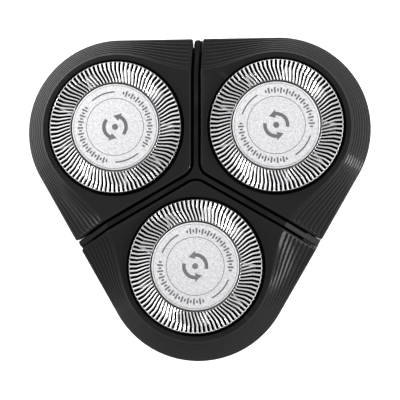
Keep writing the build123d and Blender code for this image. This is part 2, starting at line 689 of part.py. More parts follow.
with BuildPart() as neck_housing:
    with BuildSketch(Plane.XY.offset(NECK_BOTTOM)):
        add(lobed_outline(2.0, 16.6))
    with BuildSketch(Plane.XY.offset(NECK_BOTTOM + 3.2)):
        add(lobed_outline(4.4, 16.2))
    with BuildSketch(Plane.XY.offset(NECK_TOP)):
        add(lobed_outline(16.2, 15.2 - NECK_STEP))
    loft()
    add(neck_hollow.part, mode=Mode.SUBTRACT)
    with Locations((0, REAR_FLAT_Y + 10, POD_TOP - 27)):
        Box(80, 20, 30, mode=Mode.SUBTRACT)
    # spigot that the handle shells close round
    with BuildSketch(Plane.XY.offset(NECK_BOTTOM - 4.2)):
        Circle(15.6)
        Circle(14.2, mode=Mode.SUBTRACT)
    extrude(amount=4.2)
    with BuildSketch(Plane.XY.offset(NECK_BOTTOM)):
        Circle(16.4)
        Circle(14.2, mode=Mode.SUBTRACT)
    extrude(amount=1.2)
    # motor's boss, spindle sockets and screw holes in the motor plate
    with BuildSketch(Plane.XY.offset(MOTOR_PLATE_BOTTOM)):
        Circle(3.3)
        for azimuth in HEAD_AZIMUTHS.values():
            with Locations(polar(SCREW_CIRCLE_R, azimuth + 60)):
                Circle(1.2)
    extrude(amount=2, mode=Mode.SUBTRACT)
    with BuildSketch(Plane.XY.offset(SPINDLE_BOTTOM - 0.1)):
        for azimuth in HEAD_AZIMUTHS.values():
            with Locations(polar(HEAD_CIRCLE_R, azimuth)):
                Circle(SPINDLE_R + PIN_CLEARANCE)
    extrude(amount=2, mode=Mode.SUBTRACT)
save(neck_housing.part, "neck_housing")

with BuildPart() as housing_screws:
    for azimuth in HEAD_AZIMUTHS.values():
        with BuildSketch(Plane.XY.offset(MOTOR_PLATE_BOTTOM - 1.2)):
            with Locations(polar(SCREW_CIRCLE_R, azimuth + 60)):
                Circle(1.8)
        extrude(amount=1.2)
        with BuildSketch(Plane.XY.offset(MOTOR_PLATE_BOTTOM)):
            with Locations(polar(SCREW_CIRCLE_R, azimuth + 60)):
                Circle(1.1)
        extrude(amount=6.0)
save(housing_screws.part, "housing_screws")

with BuildPart() as neck_ring:
    with BuildSketch(Plane.XY.offset(HANDLE_TOP)):
        Ellipse(18.9, 18.5)
        Circle(15.65, mode=Mode.SUBTRACT)
    extrude(amount=NECK_BOTTOM - HANDLE_TOP)
    outer_wall = neck_ring.faces().filter_by(GeomType.PLANE, reverse=True).sort_by(SortBy.AREA)[-1]
    fillet(outer_wall.edges(), radius=0.35)
save(neck_ring.part, "neck_ring")


# ---------------------------------------------------------------- handle shells
def handle_body(grow):
    """The handle's outer form, grown outward by the given amount."""
    with BuildPart() as body:
        for height, half_x, half_y in HANDLE_SECTIONS:
            with BuildSketch(Plane.XY.offset(height)):
                Ellipse(half_x + grow, half_y + grow)
        loft()
    return body.part


handle_outer = handle_body(0)
handle_inner = handle_body(-WALL)
handle_skin = handle_body(SKIN)


def button_bore(radius):
    """A bore through the front wall on the power button's axis."""
    with BuildPart() as bore:
        with BuildSketch(Plane.XZ.offset(8)):
            with Locations((0, BUTTON_Z)):
                Circle(radius)
        extrude(amount=20)
    return bore.part


def light_slot(grow):
    """The slot through the front wall that takes the charge light."""
    with BuildPart() as slot:
        with BuildSketch(Plane.XZ.offset(12)):
            with Locations((0, LIGHT_Z)):
                SlotOverall(7.0 + 2 * grow, 1.6 + 2 * grow)
        extrude(amount=16)
    return slot.part


for name, side in (("front_shell", -1), ("rear_shell", 1)):
    with BuildPart() as shell:
        add(handle_outer)
        add(handle_inner, mode=Mode.SUBTRACT)
        with Locations((0, -side * 20, 60)):
            Box(60, 40, 130, mode=Mode.SUBTRACT)
        if name == "front_shell":
            add(button_bore(BUTTON_R + 0.25), mode=Mode.SUBTRACT)
            add(light_slot(0.0), mode=Mode.SUBTRACT)
        else:
            # bosses that take the base's two screws, each on a web from the wall
            for x, y in BASE_SCREWS:
                with BuildSketch(Plane.XY.offset(HANDLE_BOTTOM + 3.2)):
                    with Locations((x, y)):
                        Circle(2.4)
                    with Locations((x * 1.32, y)):
                        Rectangle(6.2, 1.2)
                extrude(amount=7)
                with BuildSketch(Plane.XY.offset(HANDLE_BOTTOM + 3.2)):
                    with Locations((x, y)):
                        Circle(1.0)
                extrude(amount=7, mode=Mode.SUBTRACT)
    save(shell.part, name)

with BuildPart() as skin:
    add(handle_skin)
    add(handle_outer, mode=Mode.SUBTRACT)
    with Locations((0, 0, SKIN_BOTTOM - 50)):
        Box(60, 60, 100, mode=Mode.SUBTRACT)
    with Locations((0, 0, SKIN_TOP + 50)):
        Box(60, 60, 100, mode=Mode.SUBTRACT)

with BuildPart() as front_panel:
    add(skin.part)
    with Locations((0, -20, 60)):
        Box(2 * PANEL_HALF, 40, 130, mode=Mode.INTERSECT)
    add(button_bore(BUTTON_R + 0.25), mode=Mode.SUBTRACT)
    add(light_slot(0.0), mode=Mode.SUBTRACT)
save(front_panel.part, "front_panel")

with BuildPart() as grip_sleeve:
    add(skin.part)
    with Locations((0, -20, 60)):
        Box(2 * PANEL_HALF + 0.4, 40, 130, mode=Mode.SUBTRACT)
save(grip_sleeve.part, "grip_sleeve")

with BuildPart() as power_button:
    with BuildSketch(Plane.XZ.offset(15.4)):
        with Locations((0, BUTTON_Z)):
            Circle(BUTTON_R)
    extrude(amount=5.1)
    fillet(power_button.edges().sort_by(Axis.Y)[0], radius=0.8)
    with BuildSketch(Plane.XZ.offset(14.4)):
        with Locations((0, BUTTON_Z)):
            Circle(BUTTON_R + 1.2)
    extrude(amount=1.0)
    with BuildSketch(Plane.XZ.offset(10.6)):
        with Locations((0, BUTTON_Z)):
            Circle(1.5)
    extrude(amount=3.8)
save(power_button.part, "power_button")

with BuildPart() as charge_light:
    add(light_slot(-0.05))
    add(handle_body(SKIN - 0.15), mode=Mode.INTERSECT)
save(charge_light.part, "charge_light")

# ---------------------------------------------------------------- inside the handle
with BuildPart() as circuit_board:
    with Locations((0, BOARD_Y, 50)):
        Box(20, 1.6, 68)
    with Locations((0, BOARD_Y + 0.8, 24), (0, BOARD_Y + 0.8, 80)):
        Box(8, 1.0, 5, align=(Align.CENTER, Align.MIN, Align.CENTER))
    with Locations((-5, BOARD_Y - 0.8, 40), (4, BOARD_Y - 0.8, 36)):
        Box(5, 1.2, 5, align=(Align.CENTER, Align.MAX, Align.CENTER))
save(circuit_board.part, "circuit_board")

with BuildPart() as tact_switch:
    with Locations((0, BOARD_Y - 0.8, BUTTON_Z)):
        Box(6, 1.2, 6, align=(Align.CENTER, Align.MAX, Align.CENTER))
    with BuildSketch(Plane.XZ.offset(-BOARD_Y + 2.0)):
        with Locations((0, BUTTON_Z)):
            Circle(1.6)
    extrude(amount=0.4)
save(tact_switch.part, "tact_switch")

with BuildPart() as battery_cell:
    with BuildSketch(Plane.XY.offset(26)):
        with Locations((0, BATTERY_Y)):
            Circle(7.1)
    extrude(amount=49)
    with BuildSketch(Plane.XY.offset(75)):
        with Locations((0, BATTERY_Y)):
            Circle(2.6)
    extrude(amount=1)
save(battery_cell.part, "battery_cell")

# two ribs that fill the rear shell and hold the battery
with BuildPart() as battery_ribs:
    with Locations((0, 16.6, 32), (0, 16.6, 66)):
        Box(60, 40, 3)
    add(handle_body(-WALL - 0.02), mode=Mode.INTERSECT)
    with BuildSketch(Plane.XY.offset(20)):
        with Locations((0, BATTERY_Y)):
            Circle(7.15)
    extrude(amount=60, mode=Mode.SUBTRACT)

with BuildPart() as inner_frame:
    with Locations((0, -3.4, 52)):
        Box(28, 1.4, 70)
    with Locations((0, -4.1, 24), (0, -4.1, 80)):
        Box(6, 1.3, 4, align=(Align.CENTER, Align.MAX, Align.CENTER))
    add(battery_ribs.part)
save(inner_frame.part, "inner_frame")

# ---------------------------------------------------------------- base
with BuildPart() as base_cap:
    with BuildSketch():
        Ellipse(19.2, 16.2)
    with BuildSketch(Plane.XY.offset(HANDLE_BOTTOM - 0.2)):
        Ellipse(20.0, 17.0)
    loft()
    fillet(base_cap.edges().sort_by(Axis.Z)[0], radius=1.6)
    with BuildSketch(Plane.XY.offset(HANDLE_BOTTOM - 0.2)):
        Ellipse(18.0, 15.0)
        Ellipse(16.6, 13.6, mode=Mode.SUBTRACT)
    extrude(amount=3.2)
    with BuildSketch():
        with Locations((0, SOCKET_Y)):
            Circle(4.0)
    extrude(amount=10, mode=Mode.SUBTRACT)
    with BuildSketch():
        with Locations(*BASE_SCREWS):
            Circle(2.1)
    extrude(amount=2.4, mode=Mode.SUBTRACT)
    with BuildSketch():
        with Locations(*BASE_SCREWS):
            Circle(1.1)
    extrude(amount=8, mode=Mode.SUBTRACT)
save(base_cap.part, "base_cap")

with BuildPart() as base_screws:
    with BuildSketch(Plane.XY.offset(1.2)):
        with Locations(*BASE_SCREWS):
            Circle(1.9)
    extrude(amount=1.2)
    with BuildSketch(Plane.XY.offset(2.4)):
        with Locations(*BASE_SCREWS):
            Circle(1.0)
    extrude(amount=10.0)
    with BuildSketch(Plane.XY.offset(1.2)):
        with Locations(*BASE_SCREWS):
            Rectangle(2.4, 0.5)
            Rectangle(0.5, 2.4)
    extrude(amount=0.6, mode=Mode.SUBTRACT)
save(base_screws.part, "base_screws")

with BuildPart() as charging_socket:
    with BuildSketch(Plane.XY.offset(0.4)):
        with Locations((0, SOCKET_Y)):
            Circle(3.95)
    extrude(amount=11)
    with BuildSketch(Plane.XY.offset(0.4)):
        with Locations((0, SOCKET_Y)):
            Circle(SOCKET_R)
    extrude(amount=9.0, mode=Mode.SUBTRACT)
save(charging_socket.part, "charging_socket")
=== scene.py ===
import json
import math

import bpy
import numpy as np
from mathutils import Matrix, Vector
from mathutils.bvhtree import BVHTree


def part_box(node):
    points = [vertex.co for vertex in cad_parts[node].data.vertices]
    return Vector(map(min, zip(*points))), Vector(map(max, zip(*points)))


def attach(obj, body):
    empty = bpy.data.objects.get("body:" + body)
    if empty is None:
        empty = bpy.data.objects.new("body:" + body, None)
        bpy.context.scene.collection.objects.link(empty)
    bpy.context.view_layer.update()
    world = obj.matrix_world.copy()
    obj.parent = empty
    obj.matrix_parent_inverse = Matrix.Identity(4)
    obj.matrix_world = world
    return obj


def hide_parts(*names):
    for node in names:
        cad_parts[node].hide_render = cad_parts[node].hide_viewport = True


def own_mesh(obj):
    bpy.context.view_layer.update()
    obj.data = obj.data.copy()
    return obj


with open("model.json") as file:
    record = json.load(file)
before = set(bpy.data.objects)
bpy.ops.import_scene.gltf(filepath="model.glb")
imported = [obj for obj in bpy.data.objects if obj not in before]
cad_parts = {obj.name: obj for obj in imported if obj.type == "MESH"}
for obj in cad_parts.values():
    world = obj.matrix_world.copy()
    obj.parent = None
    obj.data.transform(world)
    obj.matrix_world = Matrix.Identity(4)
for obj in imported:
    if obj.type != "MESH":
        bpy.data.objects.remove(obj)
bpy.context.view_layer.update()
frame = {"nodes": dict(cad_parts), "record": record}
nodes = frame["nodes"]
scene = bpy.context.scene

# -------------------- sizes, in millimetres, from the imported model
MM = 0.001
HEADS = {"front": 270, "right": 30, "left": 150}


def node_box(name):
    """A CAD node's lowest and highest corner, in millimetres."""
    low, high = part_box(name)
    return np.array(low) / MM, np.array(high) / MM


def heading(degrees):
    """A unit vector in plan."""
    return np.array([math.cos(math.radians(degrees)), math.sin(math.radians(degrees))])


pod_low, pod_high = node_box("pod_shell_front")
cap_low, cap_high = node_box("guard_cap_front")
pin_low, pin_high = node_box("pivot_pins_front")
TOP = pod_high[2]
FOOT_Z = pod_low[2]
TILT_Z = (pin_low[2] + pin_high[2]) / 2
CAP_TOP = cap_high[2]
DISC_TOP = CAP_TOP - 0.1

# HEAD_R is from the shaver's axis to a head's axis, and the heads' other radii are from the head's own axis
HEAD_R = -(cap_low[1] + cap_high[1]) / 2
HEAD_AXIS = np.array([HEAD_R, 0.0])
CAP_R = (cap_high[0] - cap_low[0]) / 2
HOLE_R = CAP_R + 0.45
RECESS_R = CAP_R + 0.48
SLOT_INNER, SLOT_OUTER = 8.19, 11.84

# a pod's lobe, with the crease between its flat top and its bevel, which runs closer in along the waist
RIM_R = -pod_low[1] - HEAD_R
CREASE_R = RIM_R - 3.55
CREASE_WAIST = RIM_R - 6.6
FOOT_R = RIM_R - 0.7
GROOVE = 0.9

# directions along and across the groove on one side of a pod, and the waist line's place in them
ALONG, ACROSS = heading(60), heading(-30)
SPINE_S = HEAD_R / 2
SPINE_T = HEAD_R * math.sin(math.radians(60))

# the pivot pins' bores in a pod's sleeve, and the bosses round them
PIN_INNER = 13.1
PIN_BORE_R = 0.8
BOSS_R = 1.6
BOSS_LENGTH = 0.62
BOSS_END = 14.5


# -------------------- mesh helpers
def rot(points, azimuth):
    """Points turned about the Z axis by an azimuth in degrees."""
    c, s = heading(azimuth)
    out = np.array(points, float)
    out[..., :2] = out[..., :2] @ [[c, s], [-s, c]]
    return out


def head_place(points, azimuth, turn=0.0):
    """Points built round the Z axis, turned and moved to one cutting head."""
    out = rot(points, azimuth + turn)
    out[..., :2] += HEAD_R * heading(azimuth)
    return out


def new_mesh(name, verts, faces):
    """A Blender mesh from points in millimetres."""
    mesh = bpy.data.meshes.new(name)
    mesh.from_pydata((np.asarray(verts, float) * MM).tolist(), [], [list(map(int, f)) for f in faces])
    return mesh


def add_object(name, data):
    """A new object in the scene."""
    thing = bpy.data.objects.new(name, data)
    scene.collection.objects.link(thing)
    return thing


def make_piece(name, verts, faces, material, body, replaces=(), slot=None, smooth=True, angle=None):
    """A mesh piece from points in millimetres, riding on a CAD body."""
    mesh = new_mesh(name, verts, faces)
    mesh.validate()
    mesh.polygons.foreach_set("use_smooth", [smooth] * len(mesh.polygons))
    if angle is not None:
        mesh.set_sharp_from_angle(angle=math.radians(angle))
    piece = add_object(name, mesh)
    piece.data.materials.append(material)
    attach(piece, body)
    if replaces:
        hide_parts(*replaces)
    return piece


def grid_faces(rows, columns, close_rows=False, close_columns=True):
    """Quads of a grid of points stored row by row."""
    faces = []
    for i in range(rows if close_rows else rows - 1):
        j = (i + 1) % rows
        for k in range(columns if close_columns else columns - 1):
            m = (k + 1) % columns
            faces.append((i * columns + k, i * columns + m, j * columns + m, j * columns + k))
    return faces


def join(*meshes):
    """Several (verts, faces) joined into one."""
    verts, faces, base = [], [], 0
    for v, f in meshes:
        verts.append(np.asarray(v, float).reshape(-1, 3))
        faces += [tuple(int(i) + base for i in face) for face in f]
        base += len(verts[-1])
    return np.vstack(verts), faces


def lathe(profile, columns=96, closed=True):
    """A profile of (radius, height) turned about Z. Where it starts or ends on the axis, it is capped."""
    angles = np.arange(columns) * 2 * math.pi / columns
    rings = [(r, z) for r, z in profile if r > 1e-6]
    verts = np.array([[r * math.cos(a), r * math.sin(a), z] for r, z in rings for a in angles])
    faces = grid_faces(len(rings), columns, close_rows=closed and len(rings) == len(profile))
    for index in (0, -1):
        r, z = profile[index]
        if r <= 1e-6:
            centre = len(verts)
            verts = np.vstack([verts, [0, 0, z]])
            base = 0 if index == 0 else (len(rings) - 1) * columns
            for k in range(columns):
                m = (k + 1) % columns
                fan = (centre, base + m, base + k) if index == 0 else (centre, base + k, base + m)
                faces.append(fan)
    return verts, faces


def closed_sheet(faces, off):
    """A sheet's faces, the same turned over on points numbered from off, and walls round its borders."""
    sides = dict.fromkeys(side for face in faces for side in zip(face, face[1:] + face[:1]))
    walls = [(b, a, off + a, off + b) for a, b in sides if (b, a) not in sides]
    return faces + [tuple(off + v for v in face[::-1]) for face in faces] + walls


def shell(top, bottom, present):
    """A thin sheet, closed round the columns, with walls round every hole. top and bottom hold the points by
    row and column, and present says which faces there are."""
    rows, columns = top.shape[:2]
    verts = np.vstack([top.reshape(-1, 3), bottom.reshape(-1, 3)])
    quads = [face[::-1] for face, there in zip(grid_faces(rows, columns), present.ravel()) if there]
    faces = closed_sheet(quads, rows * columns)
    used = sorted({v for f in faces for v in f})
    renumber = {v: n for n, v in enumerate(used)}
    return verts[used], [tuple(renumber[v] for v in f) for f in faces]


def end_faces(rows, columns):
    """The two end faces of a tube that is stored row by row."""
    return [tuple(range(columns))[::-1], tuple(range((rows - 1) * columns, rows * columns))]


# -------------------- materials
def grey(value, blue=0.0):
    """A neutral colour, or one with a little more blue."""
    return value, value, value + blue


class Nodes:
    """A short way to write a material's nodes."""

    def __init__(self, name):
        self.material = bpy.data.materials.new(name)
        self.material.use_nodes = True
        self.tree = self.material.node_tree
        self.shader = self.tree.nodes["Principled BSDF"]
        self.coords = self.new("ShaderNodeTexCoord").outputs["Object"]

    def new(self, kind, **values):
        node = self.tree.nodes.new(kind)
        for key, value in values.items():
            if key in node.inputs:
                node.inputs[key].default_value = value
            else:
                setattr(node, key, value)
        return node

    def link(self, a, b):
        self.tree.links.new(a, b)

    def mapped(self, scale):
        node = self.new("ShaderNodeMapping", Scale=scale)
        self.link(self.coords, node.inputs["Vector"])
        return node.outputs["Vector"]

    def noise(self, scale, detail=3.0, rough=0.5, vector=None, distortion=0.0):
        node = self.new("ShaderNodeTexNoise", Scale=scale, Detail=detail, Roughness=rough,
                        Distortion=distortion)
        self.link(vector or self.coords, node.inputs["Vector"])
        return node.outputs["Fac"]

    def ramp(self, value, low, high, start=0.0, end=1.0):
        """value mapped from low..high to start..end, clamped."""
        limits = {"From Min": low, "From Max": high, "To Min": start, "To Max": end}
        node = self.new("ShaderNodeMapRange", **limits)
        self.link(value, node.inputs["Value"])
        return node.outputs["Result"]

    def mix(self, factor, a, b):
        """A colour between a and b, each a colour or a socket. Inputs 6 and 7 take the two colours."""
        node = self.new("ShaderNodeMix", data_type="RGBA")
        self.link(factor, node.inputs[0])
        for index, colour in ((6, a), (7, b)):
            if hasattr(colour, "links"):
                self.link(colour, node.inputs[index])
            else:
                node.inputs[index].default_value = (*colour, 1)
        return node.outputs[2]

    def math(self, operation, a, b=0.5):
        node = self.new("ShaderNodeMath", operation=operation)
        for index, value in enumerate((a, b)):
            if hasattr(value, "links"):
                self.link(value, node.inputs[index])
            else:
                node.inputs[index].default_value = value
        return node.outputs[0]

    def bump(self, height, strength, distance):
        node = self.new("ShaderNodeBump", Strength=strength, Distance=distance)
        self.link(height, node.inputs["Height"])
        if self.shader.inputs["Normal"].links:
            self.link(self.shader.inputs["Normal"].links[0].from_socket, node.inputs["Normal"])
        self.link(node.outputs["Normal"], self.shader.inputs["Normal"])

    def base(self, colour):
        self.link(colour, self.shader.inputs["Base Color"])

    def rough(self, value):
        self.link(value, self.shader.inputs["Roughness"])

    def set(self, **values):
        for key, value in values.items():
            self.shader.inputs[key.replace("_", " ")].default_value = value


def worn_colour(m, base, worn, low=0.5, high=0.75, scale=180):
    """The base colour, with paler edges where a soft noise says that they are worn."""
    edge = m.new("ShaderNodeNewGeometry").outputs["Pointiness"]
    rub = m.math("MULTIPLY", m.ramp(edge, 0.52, 0.58), m.ramp(m.noise(scale, 4), low, high))
    return m.mix(rub, base, worn)


def wipe_marks(m):
    """Soft streaks, as a cloth leaves them on gloss."""
    return m.noise(55, 6, 0.7, m.mapped((1, 6, 1)), 1.5)


def gloss_plastic(name, base, worn, rough, level):
    """Polished moulding: fine wipe marks in the gloss and a faint orange peel."""
    m = Nodes(name)
    m.base(worn_colour(m, base, worn))
    m.rough(m.ramp(wipe_marks(m), 0.35, 0.75, *rough))
    m.bump(m.noise(260, 2), 0.25, 0.00001)
    m.set(IOR=1.5, Specular_IOR_Level=level)
    return m.material


def grain_plastic(name, base, worn, rough=(0.36, 0.5), level=0.3, grain=1500, depth=0.00003):
    """Satin moulding with a fine spark-eroded grain."""
    m = Nodes(name)
    m.base(worn_colour(m, base, worn))
    m.rough(m.ramp(m.noise(70, 5, 0.6), 0.3, 0.7, *rough))
    m.bump(m.noise(grain, 3, 0.6), 0.5, depth)
    m.set(IOR=1.48, Specular_IOR_Level=level)
    return m.material


def steel(name, base, dark, rough, grain=2600, depth=0.000006):
    """Satin steel with a fine grain and slight clouding."""
    m = Nodes(name)
    fine = m.noise(grain, 4, 0.7)
    cloud = m.ramp(m.math("MULTIPLY", m.noise(240, 4, 0.6), fine), 0.14, 0.36)
    m.base(m.mix(cloud, dark, base))
    m.rough(m.ramp(fine, 0.3, 0.7, *rough))
    m.bump(fine, 0.35, depth)
    m.set(Metallic=1.0)
    return m.material


def radius_from_head(m, azimuth):
    """The distance in plan from a cutting head's axis."""
    axis = Vector((*(HEAD_R * heading(azimuth)), 0)) * MM
    vector = m.coords
    for operation, value in (("SUBTRACT", axis), ("MULTIPLY", (1, 1, 0)), ("LENGTH", (0, 0, 0))):
        node = m.new("ShaderNodeVectorMath", operation=operation)
        m.link(vector, node.inputs[0])
        node.inputs[1].default_value = value
        vector = node.outputs[0]
    return node.outputs["Value"]


def height_of(m):
    """The height of a point on the piece as it was built."""
    split = m.new("ShaderNodeSeparateXYZ")
    m.link(m.coords, split.inputs[0])
    return split.outputs["Z"]


def from_mm(m, value, low, high):
    """A length in metres as a ramp from 0 to 1 between two lengths in millimetres."""
    return m.ramp(value, low * MM, high * MM)


def pod_plastic(name, azimuth, level):
    """The pods' gloss black, matt in the recess round the guard, where its colour is painted near black as
    painted shade.
    """
    m = Nodes(name)
    outside = from_mm(m, radius_from_head(m, azimuth), RECESS_R + 0.01, RECESS_R + 0.04)
    gloss = m.math("MAXIMUM", outside, from_mm(m, height_of(m), TOP - 0.10, TOP - 0.05))
    polished = worn_colour(m, grey(0.0088, 0.0004), grey(0.016, 0.001))
    # painted shade: the colour is near black in the recess round the guard
    m.base(m.mix(gloss, grey(0.001), polished))
    matt = m.ramp(wipe_marks(m), 0.35, 0.75, 0.90, 0.97)
    m.rough(m.math("SUBTRACT", matt, m.math("MULTIPLY", gloss, 0.80)))
    m.bump(m.noise(260, 2), 0.25, 0.00001)
    m.set(IOR=1.5, Specular_IOR_Level=level)
    return m.material


def turned_steel(name, base, azimuth):
    """Steel with fine turning marks round a cutting head's axis. Painted shade makes it near black in the
    slots and under the sheet, dark grey down the skirt, and darker along the slots' inner ends."""
    m = Nodes(name)
    radius, z = radius_from_head(m, azimuth), height_of(m)
    ring = m.new("ShaderNodeCombineXYZ")
    m.link(radius, ring.inputs[0])
    both = m.math("ADD", m.math("MULTIPLY", m.noise(9000, 2, 0.6, ring.outputs[0]), 0.5),
                  m.math("MULTIPLY", m.noise(2800, 3, 0.7), 0.5))
    above = from_mm(m, z, CAP_TOP - 0.10, CAP_TOP - 0.06)
    rim = m.math("MULTIPLY", from_mm(m, radius, SLOT_OUTER + 0.01, SLOT_OUTER + 0.04),
                 from_mm(m, z, CAP_TOP - 0.40, CAP_TOP - 0.22))
    # painted shade: darker along the slots' inner ends, next to the step down to the disc
    top_with_inner_shade = m.mix(from_mm(m, radius, SLOT_INNER + 0.02, SLOT_INNER + 0.12), grey(0.24), base)
    # painted shade: near black in the slots and under the sheet, dark grey down the skirt
    skirt = m.mix(from_mm(m, radius, CAP_R - 0.04, CAP_R - 0.01), grey(0.004), grey(0.10))
    m.base(m.mix(m.math("MAXIMUM", above, rim), skirt, top_with_inner_shade))
    m.rough(m.ramp(both, 0.35, 0.65, 0.14, 0.28))
    m.bump(both, 0.4, 0.000008)
    m.set(Metallic=1.0)
    return m.material


def blasted_steel(name, base, dark):
    """Steel with a fine, even, sparkling blasted grain."""
    m = Nodes(name)
    grain = m.math("ADD", m.math("MULTIPLY", m.noise(4600, 2, 0.8), 0.65),
                   m.math("MULTIPLY", m.noise(2300, 2, 0.6), 0.35))
    m.base(m.mix(m.ramp(grain, 0.38, 0.62), dark, base))
    m.rough(m.ramp(grain, 0.35, 0.65, 0.34, 0.46))
    m.bump(grain, 0.4, 0.00001)
    m.set(Metallic=1.0)
    return m.material


def cutter_steel(name, base, painted_shade_colour, floor_z, edge_z):
    """Hardened steel, painted near black lower down as painted shade under the guard, and in its own colour
    at its top edges. Heights are in millimetres.
    """
    m = Nodes(name)
    fine = m.noise(2400, 4, 0.7)
    level = m.math("ADD", height_of(m), m.math("MULTIPLY", fine, 0.0003))
    m.base(m.mix(from_mm(m, level, floor_z, edge_z), painted_shade_colour, base))
    m.rough(m.ramp(fine, 0.3, 0.7, 0.3, 0.45))
    m.bump(fine, 0.35, 0.000006)
    m.set(Metallic=1.0)
    return m.material


def ribbed_rubber(name, base, worn):
    """Soft rubber with a dry, slightly dusty surface."""
    m = Nodes(name)
    m.base(worn_colour(m, base, worn, 0.4, 0.7, 300))
    m.rough(m.ramp(m.noise(220, 5, 0.6), 0.3, 0.7, 0.62, 0.8))
    m.bump(m.noise(2100, 3, 0.65), 0.55, 0.00004)
    m.set(IOR=1.45, Specular_IOR_Level=0.18, Sheen_Weight=0.02, Sheen_Roughness=0.5)
    return m.material


MAT = {name: make(name, *values) for name, make, values in (
    ("pod_black", gloss_plastic, (grey(0.008, 0.0005), grey(0.018, 0.001), (0.10, 0.17), 0.13)),
    ("guard_steel", steel, (grey(0.74, 0.01), grey(0.55, 0.01), (0.22, 0.34))),
    ("disc_steel", blasted_steel, (grey(0.585, 0.01), grey(0.375, 0.01))),
    ("seat_plastic", grain_plastic, (grey(0.002), grey(0.005), (0.6, 0.8), 0.04)),
    # blade_steel: its second colour is painted shade, near black below TOP - 0.4
    ("blade_steel", cutter_steel, (grey(0.34, 0.01), grey(0.004), TOP - 0.4, TOP - 0.1)),
    ("hub_plastic", grain_plastic, (grey(0.10, 0.005), grey(0.16))),
    ("pin_steel", steel, (grey(0.62, 0.01), grey(0.45, 0.01), (0.2, 0.32))),
    ("frame_black", grain_plastic, (grey(0.0045, 0.0005), grey(0.012), (0.34, 0.46), 0.06)),
    ("housing_black", gloss_plastic, (grey(0.006, 0.0006), grey(0.014, 0.001), (0.40, 0.50), 0.12)),
    ("gear_plastic", grain_plastic, ((0.78, 0.77, 0.70), (0.84, 0.83, 0.78), (0.34, 0.45))),
    ("bush_brass", steel, ((0.78, 0.58, 0.27), (0.55, 0.38, 0.16), (0.2, 0.35))),
    ("seal_rubber", ribbed_rubber, (grey(0.02), grey(0.05))),
    ("spring_steel", steel, (grey(0.55, 0.02), grey(0.35, 0.01), (0.18, 0.3))),
    ("motor_steel", steel, (grey(0.60), grey(0.42), (0.3, 0.42))),
    ("motor_plastic", grain_plastic, (grey(0.05), grey(0.1))),
    ("screw_steel", steel, (grey(0.50), grey(0.32), (0.24, 0.38))),
    ("ring_chrome", steel, (grey(0.33, 0.015), grey(0.25, 0.01), (0.05, 0.12), 900, 0.000003)),
    ("shell_black", grain_plastic, (grey(0.007, 0.0006), grey(0.018, 0.001), (0.36, 0.5), 0.15)),
    ("panel_gloss", gloss_plastic, (grey(0.003, 0.0004), grey(0.008, 0.0005), (0.04, 0.09), 0.2)),
    ("grip_rubber", ribbed_rubber, (grey(0.009, 0.0006), grey(0.022, 0.001))),
    ("button_metal", steel, (grey(0.40, 0.015), grey(0.29, 0.01), (0.18, 0.3))),
    ("light_lens", grain_plastic, ((0.42, 0.50, 0.47), (0.50, 0.57, 0.54), (0.25, 0.35), 0.3, 900)),
    ("board_green", grain_plastic, ((0.02, 0.13, 0.06), (0.05, 0.2, 0.1), (0.2, 0.35))),
    ("switch_plastic", grain_plastic, (grey(0.03), grey(0.08))),
    ("cell_wrap", gloss_plastic, ((0.05, 0.20, 0.32), (0.12, 0.3, 0.42), (0.2, 0.34), 0.35)),
    ("inner_plastic", grain_plastic, ((0.62, 0.62, 0.58), (0.75, 0.75, 0.72))),
    ("base_plastic", grain_plastic, (grey(0.006, 0.0004), grey(0.016), (0.36, 0.5), 0.15)),
    ("print_grey", grain_plastic, (grey(0.075, 0.005), grey(0.11), (0.4, 0.55), 0.3, 2400, 0.000004)),
)}
# lit and shaded copies of one black plastic: each pod's specular level is set for the light that falls on it,
# a painted difference in sheen
POD_SHINE = {"front": 0.025, "right": 0.05, "left": 0.065}
POD_BLACK = {}
CAP_STEEL = {}
for name, azimuth in HEADS.items():
    POD_BLACK[name] = pod_plastic(f"pod_black_{name}", azimuth, POD_SHINE[name])
    CAP_STEEL[name] = turned_steel(f"guard_steel_{name}", grey(0.56, 0.01), azimuth)

for part in frame["record"]["subparts"]:
    cad = nodes[part["node"]]
    cad.data.materials.clear()
    cad.data.materials.append(MAT[part["material_slot"]])

# -------------------- pods
ARC_COLUMNS = 60
FILLET_COLUMNS = 5
EDGE_COLUMNS = 20
CORNER_COLUMNS = 8
SIDE_T = np.concatenate([np.linspace(SPINE_T, 3.2, 34)[1:], np.linspace(3.2, 1.5, 12)[1:]])

# the bevel: its drops below the top, and its ridges and the grooves between, as fractions of its width
CREASE_DROP = 0.1
BEVEL_DROP = 4.5
BEVEL_CROWN = 0.05
BEVEL_ROW = 26
RIDGES = 8
RIDGE_START, RIDGE_END = 0.02, 0.94
GROOVE_HALF = 0.021
WALL_TOP = TOP - 4.85

# the sleeve round the guard's seat, and the hollow between it and the pod's wall
SEAT_R = 12.96
SLEEVE_R = 13.9
HOLLOW_R = 13.35
HOLLOW_DEPTH = 5.2
POD_SHARP = 38


def side_offset(t, lobe, waist):
    """How far a side lies out from the line of head centres, at a distance t from the groove's plane."""
    return waist + (lobe - waist) * (1 - np.cos(math.pi * t / SPINE_T)) / 2


